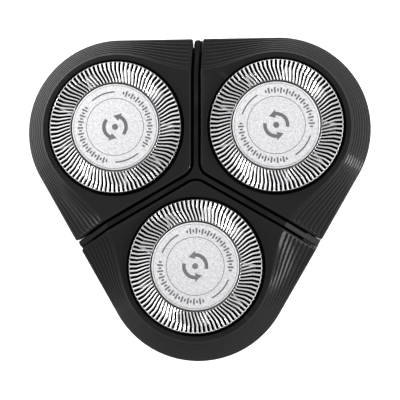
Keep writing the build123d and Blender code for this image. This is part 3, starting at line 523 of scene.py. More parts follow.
def pod_contour(lobe, waist, inset=GROOVE, corner=2.4, nose=0.35):
    """One pod's outline in plan, from the middle of its arc round to the groove and back, in fixed columns.
    Also gives each column's kind: 0 on the arc and the side, 1 on the edge along the groove."""
    points = [HEAD_AXIS + lobe * heading(a) for a in np.linspace(0, 60, ARC_COLUMNS + 1)]
    kinds = [0.0] * len(points)

    def put(s, t, kind):
        points.append(s * ALONG + t * ACROSS)
        kinds.append(kind)

    last = inset + nose
    for t in last + (SIDE_T - SIDE_T[-1]) * (SPINE_T - last) / (SPINE_T - SIDE_T[-1]):
        put(SPINE_S + side_offset(t, lobe, waist), t, 0.0)
    edge = SPINE_S + side_offset(last, lobe, waist)
    for step in range(1, FILLET_COLUMNS + 1):
        angle = math.radians(90 * step / FILLET_COLUMNS)
        put(edge - nose + nose * math.cos(angle), last - nose * math.sin(angle), step / FILLET_COLUMNS)
    corner_s = (inset + corner) / math.tan(math.radians(60))
    for step in range(1, EDGE_COLUMNS + 1):
        put(edge - nose + (corner_s - edge + nose) * step / EDGE_COLUMNS, inset, 1.0)
    centre = np.array([(inset + corner) / math.sin(math.radians(60)), 0.0])
    for step in range(1, CORNER_COLUMNS + 1):
        points.append(centre + corner * heading(150 + 30 * step / CORNER_COLUMNS))
        kinds.append(1.0)
    half = np.array(points)
    mirror = half[-2:0:-1] * [1, -1]
    return np.vstack([half, mirror]), np.array(kinds + kinds[-2:0:-1])


def from_head(ring):
    """Each point's direction and distance from the head's axis, in plan."""
    away = ring - HEAD_AXIS
    distance = np.linalg.norm(away, axis=1)
    return away / distance[:, None], distance


def flat(ring, z):
    """A plan outline as points at a height, or at one height each."""
    return np.column_stack([ring, np.broadcast_to(z, len(ring))])


def between(q):
    """The lobe radius and waist at a fraction q from the crease to the rim."""
    return CREASE_R + q * (RIM_R - CREASE_R), CREASE_WAIST + q * (RIM_R - CREASE_WAIST)


def top_rows(reference, kind):
    """Rows up the hole and the recess round the guard, and across the flat top to the crease."""
    rows = []
    unit, _ = from_head(reference)
    hole = [(0, 1.2), (0, 0.78), (0.005, 0.71), (0.01, 0.70)]
    recess = [(-0.015, 0.70), (-0.005, 0.68), (0, 0.62), (0, 0.07), (0.02, 0.02), (0.06, 0.0), (0.14, 0.0)]
    steps = [(HOLE_R + r, drop) for r, drop in hole] + [(RECESS_R + r, drop) for r, drop in recess]
    for radius, drop in steps:
        rows.append(flat(HEAD_AXIS + radius * unit, TOP - drop))
    # the rounded crease; along the groove the top edge is rounded over in the same rows
    for q, inset, drop, fall in ((-0.12, 0.30, 0.0, 0.0), (-0.06, 0.14, 0.0, 0.02),
                                 (-0.02, 0.05, 0.004, 0.07), (0.0, 0.0, 0.03, 0.16)):
        ring, _ = pod_contour(*between(q), inset=GROOVE + inset)
        rows.append(flat(ring, TOP - drop * (1 - kind) - fall * kind))
    return rows


def bevel_rows():
    """Rows down the bevel, and how deep each is pressed in to leave the ridges standing."""
    places = []
    for k in range(RIDGES):
        low = RIDGE_START if k == 0 else k / RIDGES + GROOVE_HALF
        high = RIDGE_END if k == RIDGES - 1 else (k + 1) / RIDGES - GROOVE_HALF
        places += [(low + (high - low) * step / 3, 0.0 if step in (0, 3) else -0.02) for step in range(4)]
        if k < RIDGES - 1:
            middle = (k + 1) / RIDGES
            places += [(middle + shift * GROOVE_HALF, depth) for shift, depth in
                       ((-0.4, 0.07), (0.0, 0.12), (0.4, 0.07))]
    rows = []
    for q, _ in places:
        drop = CREASE_DROP * (1 - q) + BEVEL_DROP * q - BEVEL_CROWN * math.sin(math.pi * q)
        rows.append(flat(pod_contour(*between(q))[0], TOP - drop))
    return rows, [depth for _, depth in places]


def wall_rows():
    """Rows over the rim, down the wall and round the lower edge."""
    rows = [flat(pod_contour(*between(q))[0], z) for q, z in
            ((0.975, TOP - 4.46), (0.993, TOP - 4.62), (1.0, WALL_TOP))]
    for f in (0.2, 0.4, 0.6, 0.8):
        radius = RIM_R + (FOOT_R - RIM_R) * f
        rows.append(flat(pod_contour(radius, radius)[0], WALL_TOP + (FOOT_Z - WALL_TOP) * f))
    rows.append(flat(pod_contour(FOOT_R + 0.03, FOOT_R + 0.03)[0], FOOT_Z + 0.22))
    rows.append(flat(pod_contour(FOOT_R - 0.16, FOOT_R - 0.16, inset=GROOVE + 0.14)[0], FOOT_Z))
    return rows


def hollow_ring(lobe, waist):
    """An outline of the hollow, between the sleeve and the foot, and its distance from the axis."""
    unit, distance = from_head(pod_contour(lobe, waist, inset=GROOVE + 1.2, corner=1.6, nose=0.5)[0])
    _, foot = from_head(pod_contour(FOOT_R, FOOT_R)[0])
    distance = np.minimum(np.maximum(distance, HOLLOW_R), foot - 0.28)
    return HEAD_AXIS + unit * distance[:, None], distance


def underside_rows():
    """Rows up into the hollow, down the sleeve's outside and up its inside. The hollow runs out where the
    wall comes close to the sleeve."""
    mouth, distance = hollow_ring(FOOT_R - 1.4, FOOT_R - 1.4)
    open_here = np.clip((distance - 14.0) / 0.6, 0.02, 1.0)
    rows = [flat(mouth, FOOT_Z)]
    for (ring, _), depth in ((hollow_ring(RIM_R - 1.5, RIM_R - 1.5), 3.2),
                             (hollow_ring(CREASE_R + 1.25, CREASE_WAIST + 2.9), HOLLOW_DEPTH)):
        blend = mouth * (1 - open_here[:, None]) + ring * open_here[:, None]
        rows.append(flat(blend, FOOT_Z + depth * open_here))
    unit, _ = from_head(mouth)
    sleeve = HEAD_AXIS + unit * np.minimum(SLEEVE_R, distance - 0.06)[:, None]
    rows.append(flat(sleeve, FOOT_Z + HOLLOW_DEPTH * open_here - 0.02))
    rows.append(flat(sleeve, FOOT_Z + 1.62 * open_here))
    rows.append(flat(HEAD_AXIS + unit * (SEAT_R + 0.01), FOOT_Z + 1.6 * open_here))
    rows += [flat(HEAD_AXIS + unit * SEAT_R, z) for z in (TOP - 3.0, TOP - 1.2)]
    return rows


def press_ridges(points, depths, kind):
    """Moves the rows in along the surface's normal. The grooves between the ridges are shallow round the
    lobe's arc, deeper along the waist, and run out short of the dividing groove."""
    across = np.roll(points, -1, 1) - np.roll(points, 1, 1)
    down = np.zeros_like(points)
    down[1:-1] = points[2:] - points[:-2]
    normal = np.cross(across, down)
    normal /= np.linalg.norm(normal, axis=2)[..., None] + 1e-12
    if normal[BEVEL_ROW, 0, 2] < 0:
        normal = -normal
    gap = np.stack([points[..., 0], np.abs(points[..., 1])], axis=2) @ ACROSS
    fade = np.clip((gap - (GROOVE + 0.1)) / 0.9, 0, 1)
    fade = fade * fade * (3 - 2 * fade)
    fade *= 0.24 + 0.76 * np.clip((SPINE_T + 1.5 - gap) / 7.0, 0, 1)
    return points - normal * (depths[:, None] * fade * (1 - kind))[..., None]


def pod_mesh():
    """One pod as a closed skin: hole, flat top, ridged bevel, lower wall, and the hollow underneath."""
    reference, kind = pod_contour(*between(0.0))
    top = top_rows(reference, kind)
    bevel, depths = bevel_rows()
    rest = wall_rows() + underside_rows()
    depths = np.array([0.0] * len(top) + depths + [0.0] * len(rest))
    points = press_ridges(np.array(top + bevel + rest), depths, kind)
    return points.reshape(-1, 3), grid_faces(*points.shape[:2], close_rows=True)


def cylinder_along(start, direction, radius, length, sides=32):
    """A cylinder from a point along a level direction."""
    across = np.array([-direction[1], direction[0], 0.0])
    turns = np.linspace(0, 2 * math.pi, sides, endpoint=False)
    ring = start + radius * (np.cos(turns)[:, None] * across + np.sin(turns)[:, None] * [0.0, 0.0, 1.0])
    verts = np.vstack([ring, ring + length * np.array([*direction, 0.0])])
    return verts, grid_faces(2, sides) + end_faces(2, sides)


def bore_for_pins(pod, name, azimuth):
    """Cuts the bores that the two pivot pins turn in through the pod's sleeve."""
    centre = np.array([*(HEAD_R * heading(azimuth)), TILT_Z])
    bores = []
    for side in (-90, 90):
        direction = heading(azimuth + side)
        start = centre + np.array([*direction, 0.0]) * (PIN_INNER - 0.35)
        bores.append(cylinder_along(start, direction, PIN_BORE_R, BOSS_END - PIN_INNER + 0.6))
    mesh = new_mesh(f"bores_{name}", *join(*bores))
    cutter = add_object(f"bores_{name}", mesh)
    cut = pod.modifiers.new("bores", "BOOLEAN")
    cut.operation = "DIFFERENCE"
    cut.solver = "EXACT"
    cut.object = cutter
    bored = bpy.data.meshes.new_from_object(pod.evaluated_get(bpy.context.evaluated_depsgraph_get()))
    bored.set_sharp_from_angle(angle=math.radians(POD_SHARP))
    pod.modifiers.clear()
    pod.data = bored
    bpy.data.objects.remove(cutter)
    bpy.data.meshes.remove(mesh)


def pin_bosses_mesh():
    """The bosses round the two pins' bores, outside the sleeve of a pod that points along +X."""
    tube, faces = lathe([(PIN_BORE_R, 0.0), (BOSS_R, 0.0), (BOSS_R, BOSS_LENGTH - 0.1),
                         (BOSS_R - 0.1, BOSS_LENGTH), (PIN_BORE_R, BOSS_LENGTH)], 40)
    out = BOSS_END - BOSS_LENGTH + tube[:, 2]
    return join(*[(np.column_stack([HEAD_R + tube[:, 0], way * out, TILT_Z + way * tube[:, 1]]), faces)
                  for way in (-1, 1)])


pod_verts, pod_faces = pod_mesh()
boss_verts, boss_faces = pin_bosses_mesh()
for name, azimuth in HEADS.items():
    owner = (f"pod_{name}", [f"pod_shell_{name}"], "pod_black")
    pod = make_piece(f"pod_skin_{name}", rot(pod_verts, azimuth), pod_faces, POD_BLACK[name], *owner,
                     angle=POD_SHARP)
    bore_for_pins(pod, name, azimuth)
    make_piece(f"pin_bosses_{name}", rot(boss_verts, azimuth), boss_faces, MAT["seat_plastic"], *owner,
               angle=40)

# -------------------- guards
PITCHES = 90
CAP_SHEET = 0.22
PLAIN, SLOTTED, ROLLED = range(3)

# a slot: half its width, how far it leans and then hooks, in pitches, and where the lean and the hook start
SLOT_HALF = 0.292
LEAN, HOOK = 0.78, 0.28
LEAN_R, HOOK_R = 0.88 * CAP_R, 0.735 * CAP_R


def slot_lean(r):
    """How far, in pitches, a slot is turned at a radius: radial outside, leaning inside, then hooked."""
    if r >= LEAN_R:
        return 0.0
    if r >= HOOK_R:
        return -LEAN * ((LEAN_R - r) / (LEAN_R - HOOK_R)) ** 1.25
    return -LEAN - HOOK * min((HOOK_R - r) / (HOOK_R - SLOT_INNER), 1.0)


def slot_width(r):
    """The share of a slot's full width at a radius, which gives it round ends."""
    near = min(abs(r - SLOT_INNER), abs(r - SLOT_OUTER))
    if near > 0.06:
        return 1.0
    return 0.55 if near < 0.01 else 0.85


def cap_rings():
    """The guard's rings from the inside out: radius, height above the top, and zone."""
    step = [(0.16, -0.30), (0.14, -0.14), (0.11, -0.04), (0.08, -0.004), (0.04, 0.0)]
    span = np.linspace(SLOT_INNER, SLOT_OUTER, 24)[1:-1]
    rim = [(11.86, -0.02), (11.885, -0.045), (11.91, -0.08), (11.935, -0.13), (11.96, -0.2), (11.985, -0.32)]
    skirt = [(12.0, -0.5), (12.0, -1.3), (12.0, -2.8), (11.97, -2.9)]
    rings = [(SLOT_INNER - inward, z, PLAIN) for inward, z in step]
    along = (SLOT_INNER, SLOT_INNER + 0.07, *span, SLOT_OUTER - 0.07, SLOT_OUTER)
    rings += [(r, 0.0, SLOTTED) for r in along]
    return rings + [(r, z, ROLLED) for r, z in rim] + [(r, z, PLAIN) for r, z in skirt]


def sheet_inside(r, z, zone):
    """The radius and height of the sheet's inner face, behind a ring of its outer face."""
    if r < SLOT_INNER + 0.11:
        return r + 0.05, CAP_TOP + z - CAP_SHEET
    inner = r - CAP_SHEET if zone == PLAIN else min(r, CAP_R - CAP_SHEET - 0.02)
    under = CAP_TOP + z - CAP_SHEET if r < SLOT_OUTER - 0.04 else max(CAP_TOP + z - 0.1, CAP_TOP - 2.88)
    return inner, under


def cap_mesh():
    """The slotted steel guard: a pressed shell with bars that are crowned across, and a rounded rim."""
    fractions = [-SLOT_HALF, SLOT_HALF, SLOT_HALF + 0.06, 0.41, 0.5, 0.59, 1 - SLOT_HALF - 0.06]
    crown = [1.0, 1.0, 0.35, 0.06, 0.0, 0.06, 0.35]
    rings = cap_rings()
    top, low, present = [], [], []
    for index, (r, z, zone) in enumerate(rings):
        lean = slot_lean(max(r, SLOT_INNER)) if zone == SLOTTED or r < SLOT_INNER else 0.0
        width = slot_width(r) if zone == SLOTTED else 1.0
        bar_drop = 0.045 if zone == SLOTTED else 0.0
        out = (r - SLOT_OUTER) / (CAP_R - SLOT_OUTER)
        rim_drop = 0.14 * math.sin(math.pi * out) if zone == ROLLED else 0.0
        inner, under = sheet_inside(r, z, zone)
        ring_top, ring_low = [], []
        for k in range(PITCHES):
            for f, c in zip(fractions, crown):
                place = f * width if abs(f) <= SLOT_HALF else f
                x, y = heading((k + place + lean) * 360 / PITCHES)
                ring_top.append((r * x, r * y, CAP_TOP + z - bar_drop * c - rim_drop * (1 - c)))
                ring_low.append((inner * x, inner * y, under))
        top.append(ring_top)
        low.append(ring_low)
        if index < len(rings) - 1:
            slotted = zone == SLOTTED and rings[index + 1][2] == SLOTTED
            columns = range(PITCHES * len(fractions))
            present.append([not (slotted and column % len(fractions) == 0) for column in columns])
    return shell(np.array(top), np.array(low), np.array(present))


def disc_mesh():
    """The slightly crowned disc in the guard's middle."""
    profile = [(0, -0.4), (7.8, -0.4), (7.92, -0.36), (7.90, -0.12), (7.84, -0.04), (7.72, -0.012),
               (7.55, -0.004), (7.3, 0.0), (5.0, 0.0), (4.4, 0.004), (2.0, 0.018), (0, 0.02)]
    return lathe([(r, DISC_TOP + z) for r, z in profile], 144, closed=False)


def arc_bar(r0, r1, start, end, z0, z1, steps):
    """A flat bar bent along an arc, between two radii and two angles in degrees."""
    angles = np.radians(np.linspace(start, end, steps + 1))
    section = [(r0, z0), (r1, z0), (r1, z1), (r0, z1)]
    verts = np.array([[r * math.cos(a), r * math.sin(a), z] for a in angles for r, z in section])
    faces = grid_faces(steps + 1, 4)
    faces.append((3, 2, 1, 0))
    base = steps * 4
    faces.append((base, base + 1, base + 2, base + 3))
    return verts, faces


def arrow_mesh(middle, low, high):
    """One of the two curved arrows of the turning symbol."""
    back, tip = heading(middle + 42), heading(middle + 78)
    head = [1.25 * back, 2.80 * back, 2.05 * tip]
    verts = np.array([(x, y, z) for z in (low, high) for x, y in head])
    faces = [(2, 1, 0), (3, 4, 5), (0, 1, 4, 3), (1, 2, 5, 4), (2, 0, 3, 5)]
    return join(arc_bar(1.70, 2.35, middle - 62, middle + 42, low, high, 24), (verts, faces))


def marks_mesh():
    """Printed marks: two arcs of dial ticks with fine lines between them, and a turning symbol."""
    z0, z1 = DISC_TOP - 0.02, DISC_TOP + 0.012
    on_crown = (z0 + 0.03, z1 + 0.03)
    tick_half = math.degrees(0.15 / 6.3)
    pieces = []
    for middle in (0, 180):
        for index in range(-11, 12):
            angle = middle + index * 5.0
            inner, outer = (5.78, 6.85) if index % 2 == 0 else (6.05, 6.58)
            pieces.append(arc_bar(inner, outer, angle - tick_half, angle + tick_half, z0, z1, 1))
        pieces.append(arc_bar(6.26, 6.52, middle + 70, middle + 110, z0, z1, 24))
        pieces.append(arrow_mesh(middle, *on_crown))
    low, high = on_crown
    pieces.append(lathe([(0, low), (0.55, low), (0.55, high), (0, high)], 32, closed=False))
    for r, half in ((5.2, 0.055), (7.55, 0.04)):
        pieces.append(lathe([(r - half, z0), (r + half, z0), (r + half, z1), (r - half, z1)], 144))
    return join(*pieces)


cap_verts, cap_faces = cap_mesh()
disc_verts, disc_faces = disc_mesh()
mark_verts, mark_faces = marks_mesh()
# the azimuth of the middle of one arc of ticks on each guard
MARK_AZIMUTH = {"left": 201, "right": 232, "front": 228}
for name, azimuth in HEADS.items():
    owner = (f"guard_{name}", [f"guard_cap_{name}"], "guard_steel")
    make_piece(f"guard_shell_{name}", head_place(cap_verts, azimuth), cap_faces, CAP_STEEL[name], *owner,
               angle=35)
    make_piece(f"guard_disc_{name}", head_place(disc_verts, azimuth), disc_faces, MAT["disc_steel"], *owner,
               angle=30)
    marks = head_place(mark_verts, azimuth, MARK_AZIMUTH[name] - azimuth)
    make_piece(f"guard_marks_{name}", marks, mark_faces, MAT["print_grey"], *owner, smooth=False)

# -------------------- handle: rubber grip, gloss panel and buttons
grip_low, grip_high = node_box("grip_sleeve")
panel_low, panel_high = node_box("front_panel")
button_low, button_high = node_box("power_button")
light_low, light_high = node_box("charge_light")
release_low, release_high = node_box("release_button")
PANEL_HALF = panel_high[0]
PANEL_GAP = 0.2
SKIN = 0.9
SKIN_OVERLAP = 0.02
SKIN_MIDDLE = 55
SOFT = 0.35
BUTTON_Z = (button_low[2] + button_high[2]) / 2
LIGHT_Z = (light_low[2] + light_high[2]) / 2


def half_widths():
    """Smooth curves of the grip's half-width in X and in Y against height, read from the sleeve itself."""
    tree = BVHTree.FromObject(nodes["grip_sleeve"], bpy.context.evaluated_depsgraph_get())
    heights = np.linspace(grip_low[2] + 0.5, grip_high[2] - 0.5, 24)
    curves = []
    for axis in (Vector((1, 0, 0)), Vector((0, 1, 0))):
        reach = []
        for z in heights:
            hit = tree.ray_cast(axis * 0.1 + Vector((0, 0, z * MM)), -axis)[0]
            reach.append(hit.dot(axis) / MM)
        curves.append(np.polyfit(heights - SKIN_MIDDLE, reach, 5))
    return curves


WIDE_X, WIDE_Y = half_widths()


def skin_axes(z, depth):
    """The half-widths of the handle's skin at a height, a depth below its outside."""
    return np.polyval(WIDE_X, z - SKIN_MIDDLE) - depth, np.polyval(WIDE_Y, z - SKIN_MIDDLE) - depth


def border_lines(low, high, step):
    """Grid lines at multiples of a step, with closer ones along both borders for the rounded edges."""
    ends = SOFT * (1 - np.cos(np.radians([0, 35, 62, 90])))
    first, last = math.ceil((low + SOFT + 0.1) / step), math.floor((high - SOFT - 0.1) / step)
    return np.concatenate([low + ends, np.arange(first, last + 1) * step, high - ends[::-1]])


def edge_drop(distance):
    """How far a rounded border is below the surface, at a distance in from it."""
    f = np.clip(1 - distance / SOFT, 0, 1)
    return SOFT * (1 - np.sqrt(1 - f * f))


def grip_mesh(pitch=3.0, depth=0.5, sweep=10.0, length=105.0):
    """The rubber grip: it wraps round the back, a length of about 105 mm at its middle height, with swept
    grooves that run out before its borders."""
    across = border_lines(0, length, 0.95) / length
    up = border_lines(grip_low[2], grip_high[2], 0.4)
    f, z = np.meshgrid(across, up)
    wide_x, _ = skin_axes(z, 0.0)
    start = -np.arccos((PANEL_HALF + PANEL_GAP) / wide_x)
    angle = start + f * (math.pi - 2 * start)
    side = np.minimum(f, 1 - f) * length
    end = np.minimum(z - grip_low[2], grip_high[2] - z)
    back = (angle - math.pi / 2) / (math.pi / 2 - start)
    phase = (z + sweep * back ** 2) / pitch
    groove = (0.5 + 0.5 * np.cos(2 * math.pi * phase)) ** 2
    soft = np.clip((side - 2.2) / 3.5, 0, 1) * np.clip((end - 3.0 - 4 * back ** 2) / 3.0, 0, 1)
    drop = np.maximum(edge_drop(side), edge_drop(end)) + depth * groove * soft * soft * (3 - 2 * soft)

    def layer(extra):
        a, b = skin_axes(z, extra)
        return np.stack([a * np.cos(angle), b * np.sin(angle), z], axis=2)

    rows, columns = z.shape
    outer, inner = layer(drop), layer(SKIN - SKIN_OVERLAP)
    verts = np.vstack([outer.reshape(-1, 3), inner.reshape(-1, 3)])
    return verts, closed_sheet(grid_faces(rows, columns, close_columns=False), rows * columns)


def panel_mesh():
    """The gloss panel with soft edges, a bore for the power button and a slot for the charge light."""
    xs = border_lines(-PANEL_HALF, PANEL_HALF, 0.5)
    zs = border_lines(panel_low[2], panel_high[2], 0.5)
    index, plan, inset, quads = {}, [], [], []

    def vertex(x, z, distance):
        key = (round(x, 4), round(z, 4))
        if key not in index:
            index[key] = len(plan)
            plan.append(key)
            inset.append(distance)
        return index[key]

    def grid_vertex(i, k):
        x, z = xs[i], zs[k]
        return vertex(x, z, min(PANEL_HALF - abs(x), z - panel_low[2], panel_high[2] - z))

    # each hole: its middle's height, its patch's two half-sizes, and its outline's half-length and radius
    bore_r = (button_high[0] - button_low[0]) / 2 - 0.95
    light_r = 0.8
    holes = [(BUTTON_Z, 9.0, 9.0, 0.0, bore_r), (LIGHT_Z, 4.5, 2.5, light_high[0] + 0.05 - light_r, light_r)]
    taken = np.zeros((len(xs) - 1, len(zs) - 1), bool)
    for middle, half_x, half_z, run, radius in holes:
        left, right = np.searchsorted(xs, [-half_x - 1e-6, half_x - 1e-6])
        low, high = np.searchsorted(zs, [middle - half_z - 1e-6, middle + half_z - 1e-6])
        taken[left:right, low:high] = True
        loop = [(i, low) for i in range(left, right)] + [(right, k) for k in range(low, high)]
        loop += [(i, high) for i in range(right, left, -1)] + [(left, k) for k in range(high, low, -1)]
        rings = []
        for i, k in loop:
            p = np.array([xs[i], zs[k]])
            core = np.array([np.clip(p[0], -run, run), middle])
            away = (p - core) / np.linalg.norm(p - core)
            start = core + away * radius
            room = np.linalg.norm(p - start)
            steps = [0, 0.06, 0.16, 0.35, 0.35 + (room - 0.35) * 0.3, 0.35 + (room - 0.35) * 0.65]
            rings.append([vertex(*(start + away * d), d) for d in steps] + [grid_vertex(i, k)])
        for a, b in zip(rings, rings[1:] + rings[:1]):
            quads += [(a[n], a[n + 1], b[n + 1], b[n]) for n in range(len(a) - 1)]
    for i in range(len(xs) - 1):
        for k in range(len(zs) - 1):
            if not taken[i, k]:
                corners = ((i, k), (i + 1, k), (i + 1, k + 1), (i, k + 1))
                quads.append(tuple(grid_vertex(*corner) for corner in corners))
    flat_points = np.array(plan)
    drop = edge_drop(np.array(inset))

    def layer(depth):
        a, b = skin_axes(flat_points[:, 1], depth)
        y = -b * np.sqrt(1 - (flat_points[:, 0] / a) ** 2)
        return np.column_stack([flat_points[:, 0], y, flat_points[:, 1]])

    return np.vstack([layer(drop), layer(SKIN - SKIN_OVERLAP)]), closed_sheet(quads, len(plan))


def facing_front(verts, z):
    """Points built round the Z axis, turned so that their +Z faces the front, and moved up to a height."""
    verts = np.asarray(verts, float)
    return np.column_stack([verts[:, 0], -verts[:, 2], verts[:, 1] + z])


def power_button_mesh():
    """The power button: stem, flange, a polished rim and a dished face."""
    face, back, flange = -button_low[1], -button_high[1], (button_high[0] - button_low[0]) / 2
    body = flange - 1.2
    stem = [(0, 0), (1.5, 0), (1.5, 3.8), (flange, 3.8), (flange, 4.8), (body, 4.8)]
    rim = [(0, 0.5), (0.05, 0.28), (0.18, 0.1), (0.4, 0), (0.7, 0), (0.88, 0.06), (0.96, 0.3), (1.02, 0.36),
           (1.12, 0.36), (1.2, 0.3), (1.4, 0.25)]
    dish = [(4.0, 0.33), (3.4, 0.42), (2.8, 0.47), (1.4, 0.5), (0, 0.5)]
    profile = [(r, back + z) for r, z in stem]
    profile += [(body - inward, face - z) for inward, z in rim]
    profile += [(r, face - z) for r, z in dish]
    verts, faces = lathe(profile, 96, closed=False)
    return facing_front(verts, BUTTON_Z), faces


def power_symbol_mesh():
    """The standby sign: an open ring with a bar in its gap."""
    dish = -button_low[1] - 0.5
    low, high = dish - 0.05, dish + 0.03
    ring = arc_bar(1.75, 2.1, 125, 415, low, high, 48)
    bar = box_mesh((-0.175, 1.0, low), (0.175, 2.55, high))
    verts, faces = join(ring, bar)
    return facing_front(verts, BUTTON_Z), faces


def box_mesh(low, high):
    """A small box between two corners."""
    plan = ((low[0], low[1]), (high[0], low[1]), (high[0], high[1]), (low[0], high[1]))
    verts = np.array([(x, y, z) for z in (low[2], high[2]) for x, y in plan])
    return verts, [(3, 2, 1, 0), (4, 5, 6, 7), (0, 1, 5, 4), (1, 2, 6, 5), (2, 3, 7, 6), (3, 0, 4, 7)]


def rounded_rectangle(half_x, half_y, radius, steps=6):
    """The outline of a rectangle with round corners."""
    points = []
    for quarter, (sx, sy) in enumerate(((1, 1), (-1, 1), (-1, -1), (1, -1))):
        for step in range(steps + 1):
            centre = np.array([sx * (half_x - radius), sy * (half_y - radius)])
            points.append(centre + radius * heading(90 * (quarter + step / steps)))
    return np.array(points)


def release_button_mesh():
    """The release button: a soft-edged key with a flange behind and five grip ribs on its face."""
    face, back = -release_low[1], -release_high[1]
    half_x, half_z = release_high[0] - 0.5, (release_high[2] - release_low[2]) / 2
    keel = back + 1.2
    rings = []
    for depth, grow in ((keel, 0.5), (keel + 0.35, 0.5), (keel + 0.35, 0.0), (face - 0.6, 0.0),
                        (face - 0.25, -0.06), (face - 0.07, -0.2), (face, -0.45)):
        rect = rounded_rectangle(half_x + grow, half_z + min(grow, 0.0), 0.7)
        rings.append(np.column_stack([rect, np.full(len(rect), depth)]))
    columns = len(rings[0])
    faces = grid_faces(len(rings), columns) + end_faces(len(rings), columns)
    parts = [(np.vstack(rings), faces)]
    rib_profile = [(0, -1.0), (0.14, -0.96), (0.2, -0.82), (0.2, 0.82), (0.14, 0.96), (0, 1.0)]
    rib, rib_faces = lathe(rib_profile, 16, closed=False)
    for index in range(-2, 3):
        parts.append((np.column_stack([rib[:, 0] + index * 1.1, rib[:, 2], rib[:, 1] + face]), rib_faces))
    parts.append(lathe([(0, back), (0.7, back), (0.7, keel + 0.05), (0, keel + 0.05)], 24, closed=False))
    verts, faces = join(*parts)
    return facing_front(verts, (release_low[2] + release_high[2]) / 2), faces


make_piece("grip_rubber", *grip_mesh(), MAT["grip_rubber"], "handle", ["grip_sleeve"], "grip_rubber",
           angle=50)
make_piece("gloss_panel", *panel_mesh(), MAT["panel_gloss"], "handle", ["front_panel"], "panel_gloss",
           angle=50)
button = ("power_button", ["power_button"], "button_metal")
make_piece("power_key", *power_button_mesh(), MAT["button_metal"], *button, angle=40)
make_piece("power_sign", *power_symbol_mesh(), MAT["print_grey"], *button, smooth=False)
make_piece("release_key", *release_button_mesh(), MAT["shell_black"], "release_button", ["release_button"],
           "pod_black", angle=40)

# -------------------- springs, a little shorter than the room they sit in
COIL_PLAY = 0.04


def coil_mesh(mean_r, wire_r, length, turns):
    """A compression spring along Z from 0, with closed end turns."""
    steps, sides = turns * 28, 10
    u = np.linspace(0, 1, steps + 1)
    angle = 2 * math.pi * turns * u
    closed = 0.8 / turns
    rise = np.clip((u - closed) / (1 - 2 * closed), 0, 1)
    ends = np.clip(u / closed, 0, 1) + np.clip((u - 1 + closed) / closed, 0, 1)
    z = wire_r + 0.9 * wire_r * ends + rise * (length - 2 * wire_r - 1.8 * wire_r)
    across = np.linspace(0, 2 * math.pi, sides, endpoint=False)
    radial = mean_r + wire_r * np.cos(across)[None, :]
    verts = np.stack([radial * np.cos(angle)[:, None], radial * np.sin(angle)[:, None],
                      z[:, None] + wire_r * np.sin(across)[None, :]], axis=2)
    return verts.reshape(-1, 3), grid_faces(steps + 1, sides) + end_faces(steps + 1, sides)


for name, azimuth in HEADS.items():
    low, high = node_box(f"tip_spring_{name}")
    middle = (low + high) / 2
    length = high[2] - low[2]
    verts, faces = coil_mesh(1.68, 0.2, length - COIL_PLAY, 6)
    verts = verts + [middle[0], middle[1], low[2]]
    coil = make_piece(f"tip_coil_{name}", verts, faces, MAT["spring_steel"], f"spindle_{name}",
                      [f"tip_spring_{name}"], "spring_steel", angle=60)
    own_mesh(coil)

low, high = node_box("release_spring")
middle = (low + high) / 2
length = high[1] - low[1]
verts, faces = coil_mesh(1.0, 0.15, length - COIL_PLAY, 5)
verts = np.column_stack([verts[:, 0] + middle[0], high[1] - verts[:, 2], verts[:, 1] + middle[2]])
coil = make_piece("release_coil", verts, faces, MAT["spring_steel"], "handle", ["release_spring"],
                  "spring_steel", angle=60)
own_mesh(coil)

# -------------------- camera, floor and light, in metres
CAMERA_AIM = Vector((0.78, -4.89, TOP)) * MM
CAMERA_LEAN = (5.2, -5.0)
CAMERA_DISTANCE = 0.262
CAMERA_ANGLE = 15.6

camera_data = bpy.data.cameras.new("camera")
camera_data.angle = math.radians(CAMERA_ANGLE)
camera_data.clip_start = 0.01
camera = add_object("camera", camera_data)
lean = Vector((*np.tan(np.radians(CAMERA_LEAN)), 1.0)).normalized()
side = Vector((0, 1, 0)).cross(lean).normalized()
camera.rotation_euler = Matrix((side, lean.cross(side), lean)).transposed().to_euler()
camera.location = CAMERA_AIM + lean * CAMERA_DISTANCE
scene.camera = camera


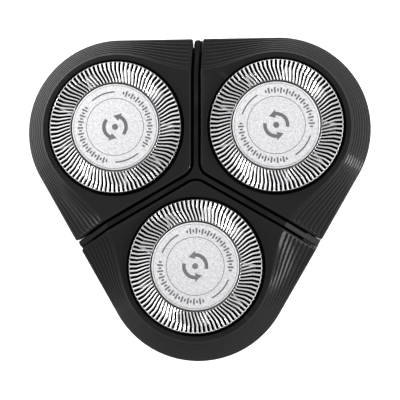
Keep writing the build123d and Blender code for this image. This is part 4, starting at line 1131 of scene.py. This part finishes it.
def add_lamp(name, kind, azimuth, height, distance, power, **looks):
    """A lamp that faces the cutting heads, from an azimuth, a height in degrees and a distance."""
    data = bpy.data.lights.new(name, kind)
    data.energy = power
    for key, value in looks.items():
        setattr(data, key, value)
    level = math.cos(math.radians(height))
    away = Vector((*(level * heading(azimuth)), math.sin(math.radians(height))))
    lamp = add_object(name, data)
    lamp.location = Vector((0, 0, TOP * MM)) + away * distance
    lamp.rotation_euler = away.to_track_quat("Z", "Y").to_euler()


# large, far softboxes, which light the floor evenly
for name, azimuth, height, spread, power in (("key_left", 140, 58, 34, 0.85), ("key_right", 35, 60, 34, 0.85),
                                             ("fill_front", 265, 62, 40, 0.3)):
    add_lamp(name, "SUN", azimuth, height, 0.0, power, angle=math.radians(spread))

# soft rectangular lamps
for name, azimuth, height, size, size_y, power in (("strip_right", -18, 20, 0.08, 0.5, 9.0),
                                                   ("strip_left", 160, 16, 0.5, 0.25, 5.0),
                                                   ("spot_low_left", 207, 24, 0.05, 0.12, 0.8)):
    add_lamp(name, "AREA", azimuth, height, 0.7, power, shape="RECTANGLE", size=size, size_y=size_y)

floor_mesh = bpy.data.meshes.new("floor")
floor_mesh.from_pydata([(-3, -3, 0), (3, -3, 0), (3, 3, 0), (-3, 3, 0)], [], [(0, 1, 2, 3)])
floor = add_object("floor", floor_mesh)
floor_material = Nodes("floor")
floor_material.base(floor_material.mix(floor_material.noise(40, 3), grey(0.96), grey(0.97)))
floor_material.set(Roughness=0.9)
floor.data.materials.append(floor_material.material)


def studio_world(horizon, zenith):
    """A plain pale surround, paler near the horizon than overhead."""
    world = bpy.data.worlds.new("studio")
    scene.world = world
    world.use_nodes = True
    tree = world.node_tree
    coords = tree.nodes.new("ShaderNodeTexCoord")
    split = tree.nodes.new("ShaderNodeSeparateXYZ")
    fall = tree.nodes.new("ShaderNodeMapRange")
    tree.links.new(coords.outputs["Generated"], split.inputs[0])
    tree.links.new(split.outputs["Z"], fall.inputs["Value"])
    for key, value in (("From Min", 0.05), ("From Max", 0.8), ("To Min", horizon), ("To Max", zenith)):
        fall.inputs[key].default_value = value
    background = tree.nodes["Background"]
    background.inputs["Color"].default_value = (1, 1, 1, 1)
    tree.links.new(fall.outputs["Result"], background.inputs["Strength"])


studio_world(0.9, 0.72)
scene.view_settings.view_transform = "Standard"
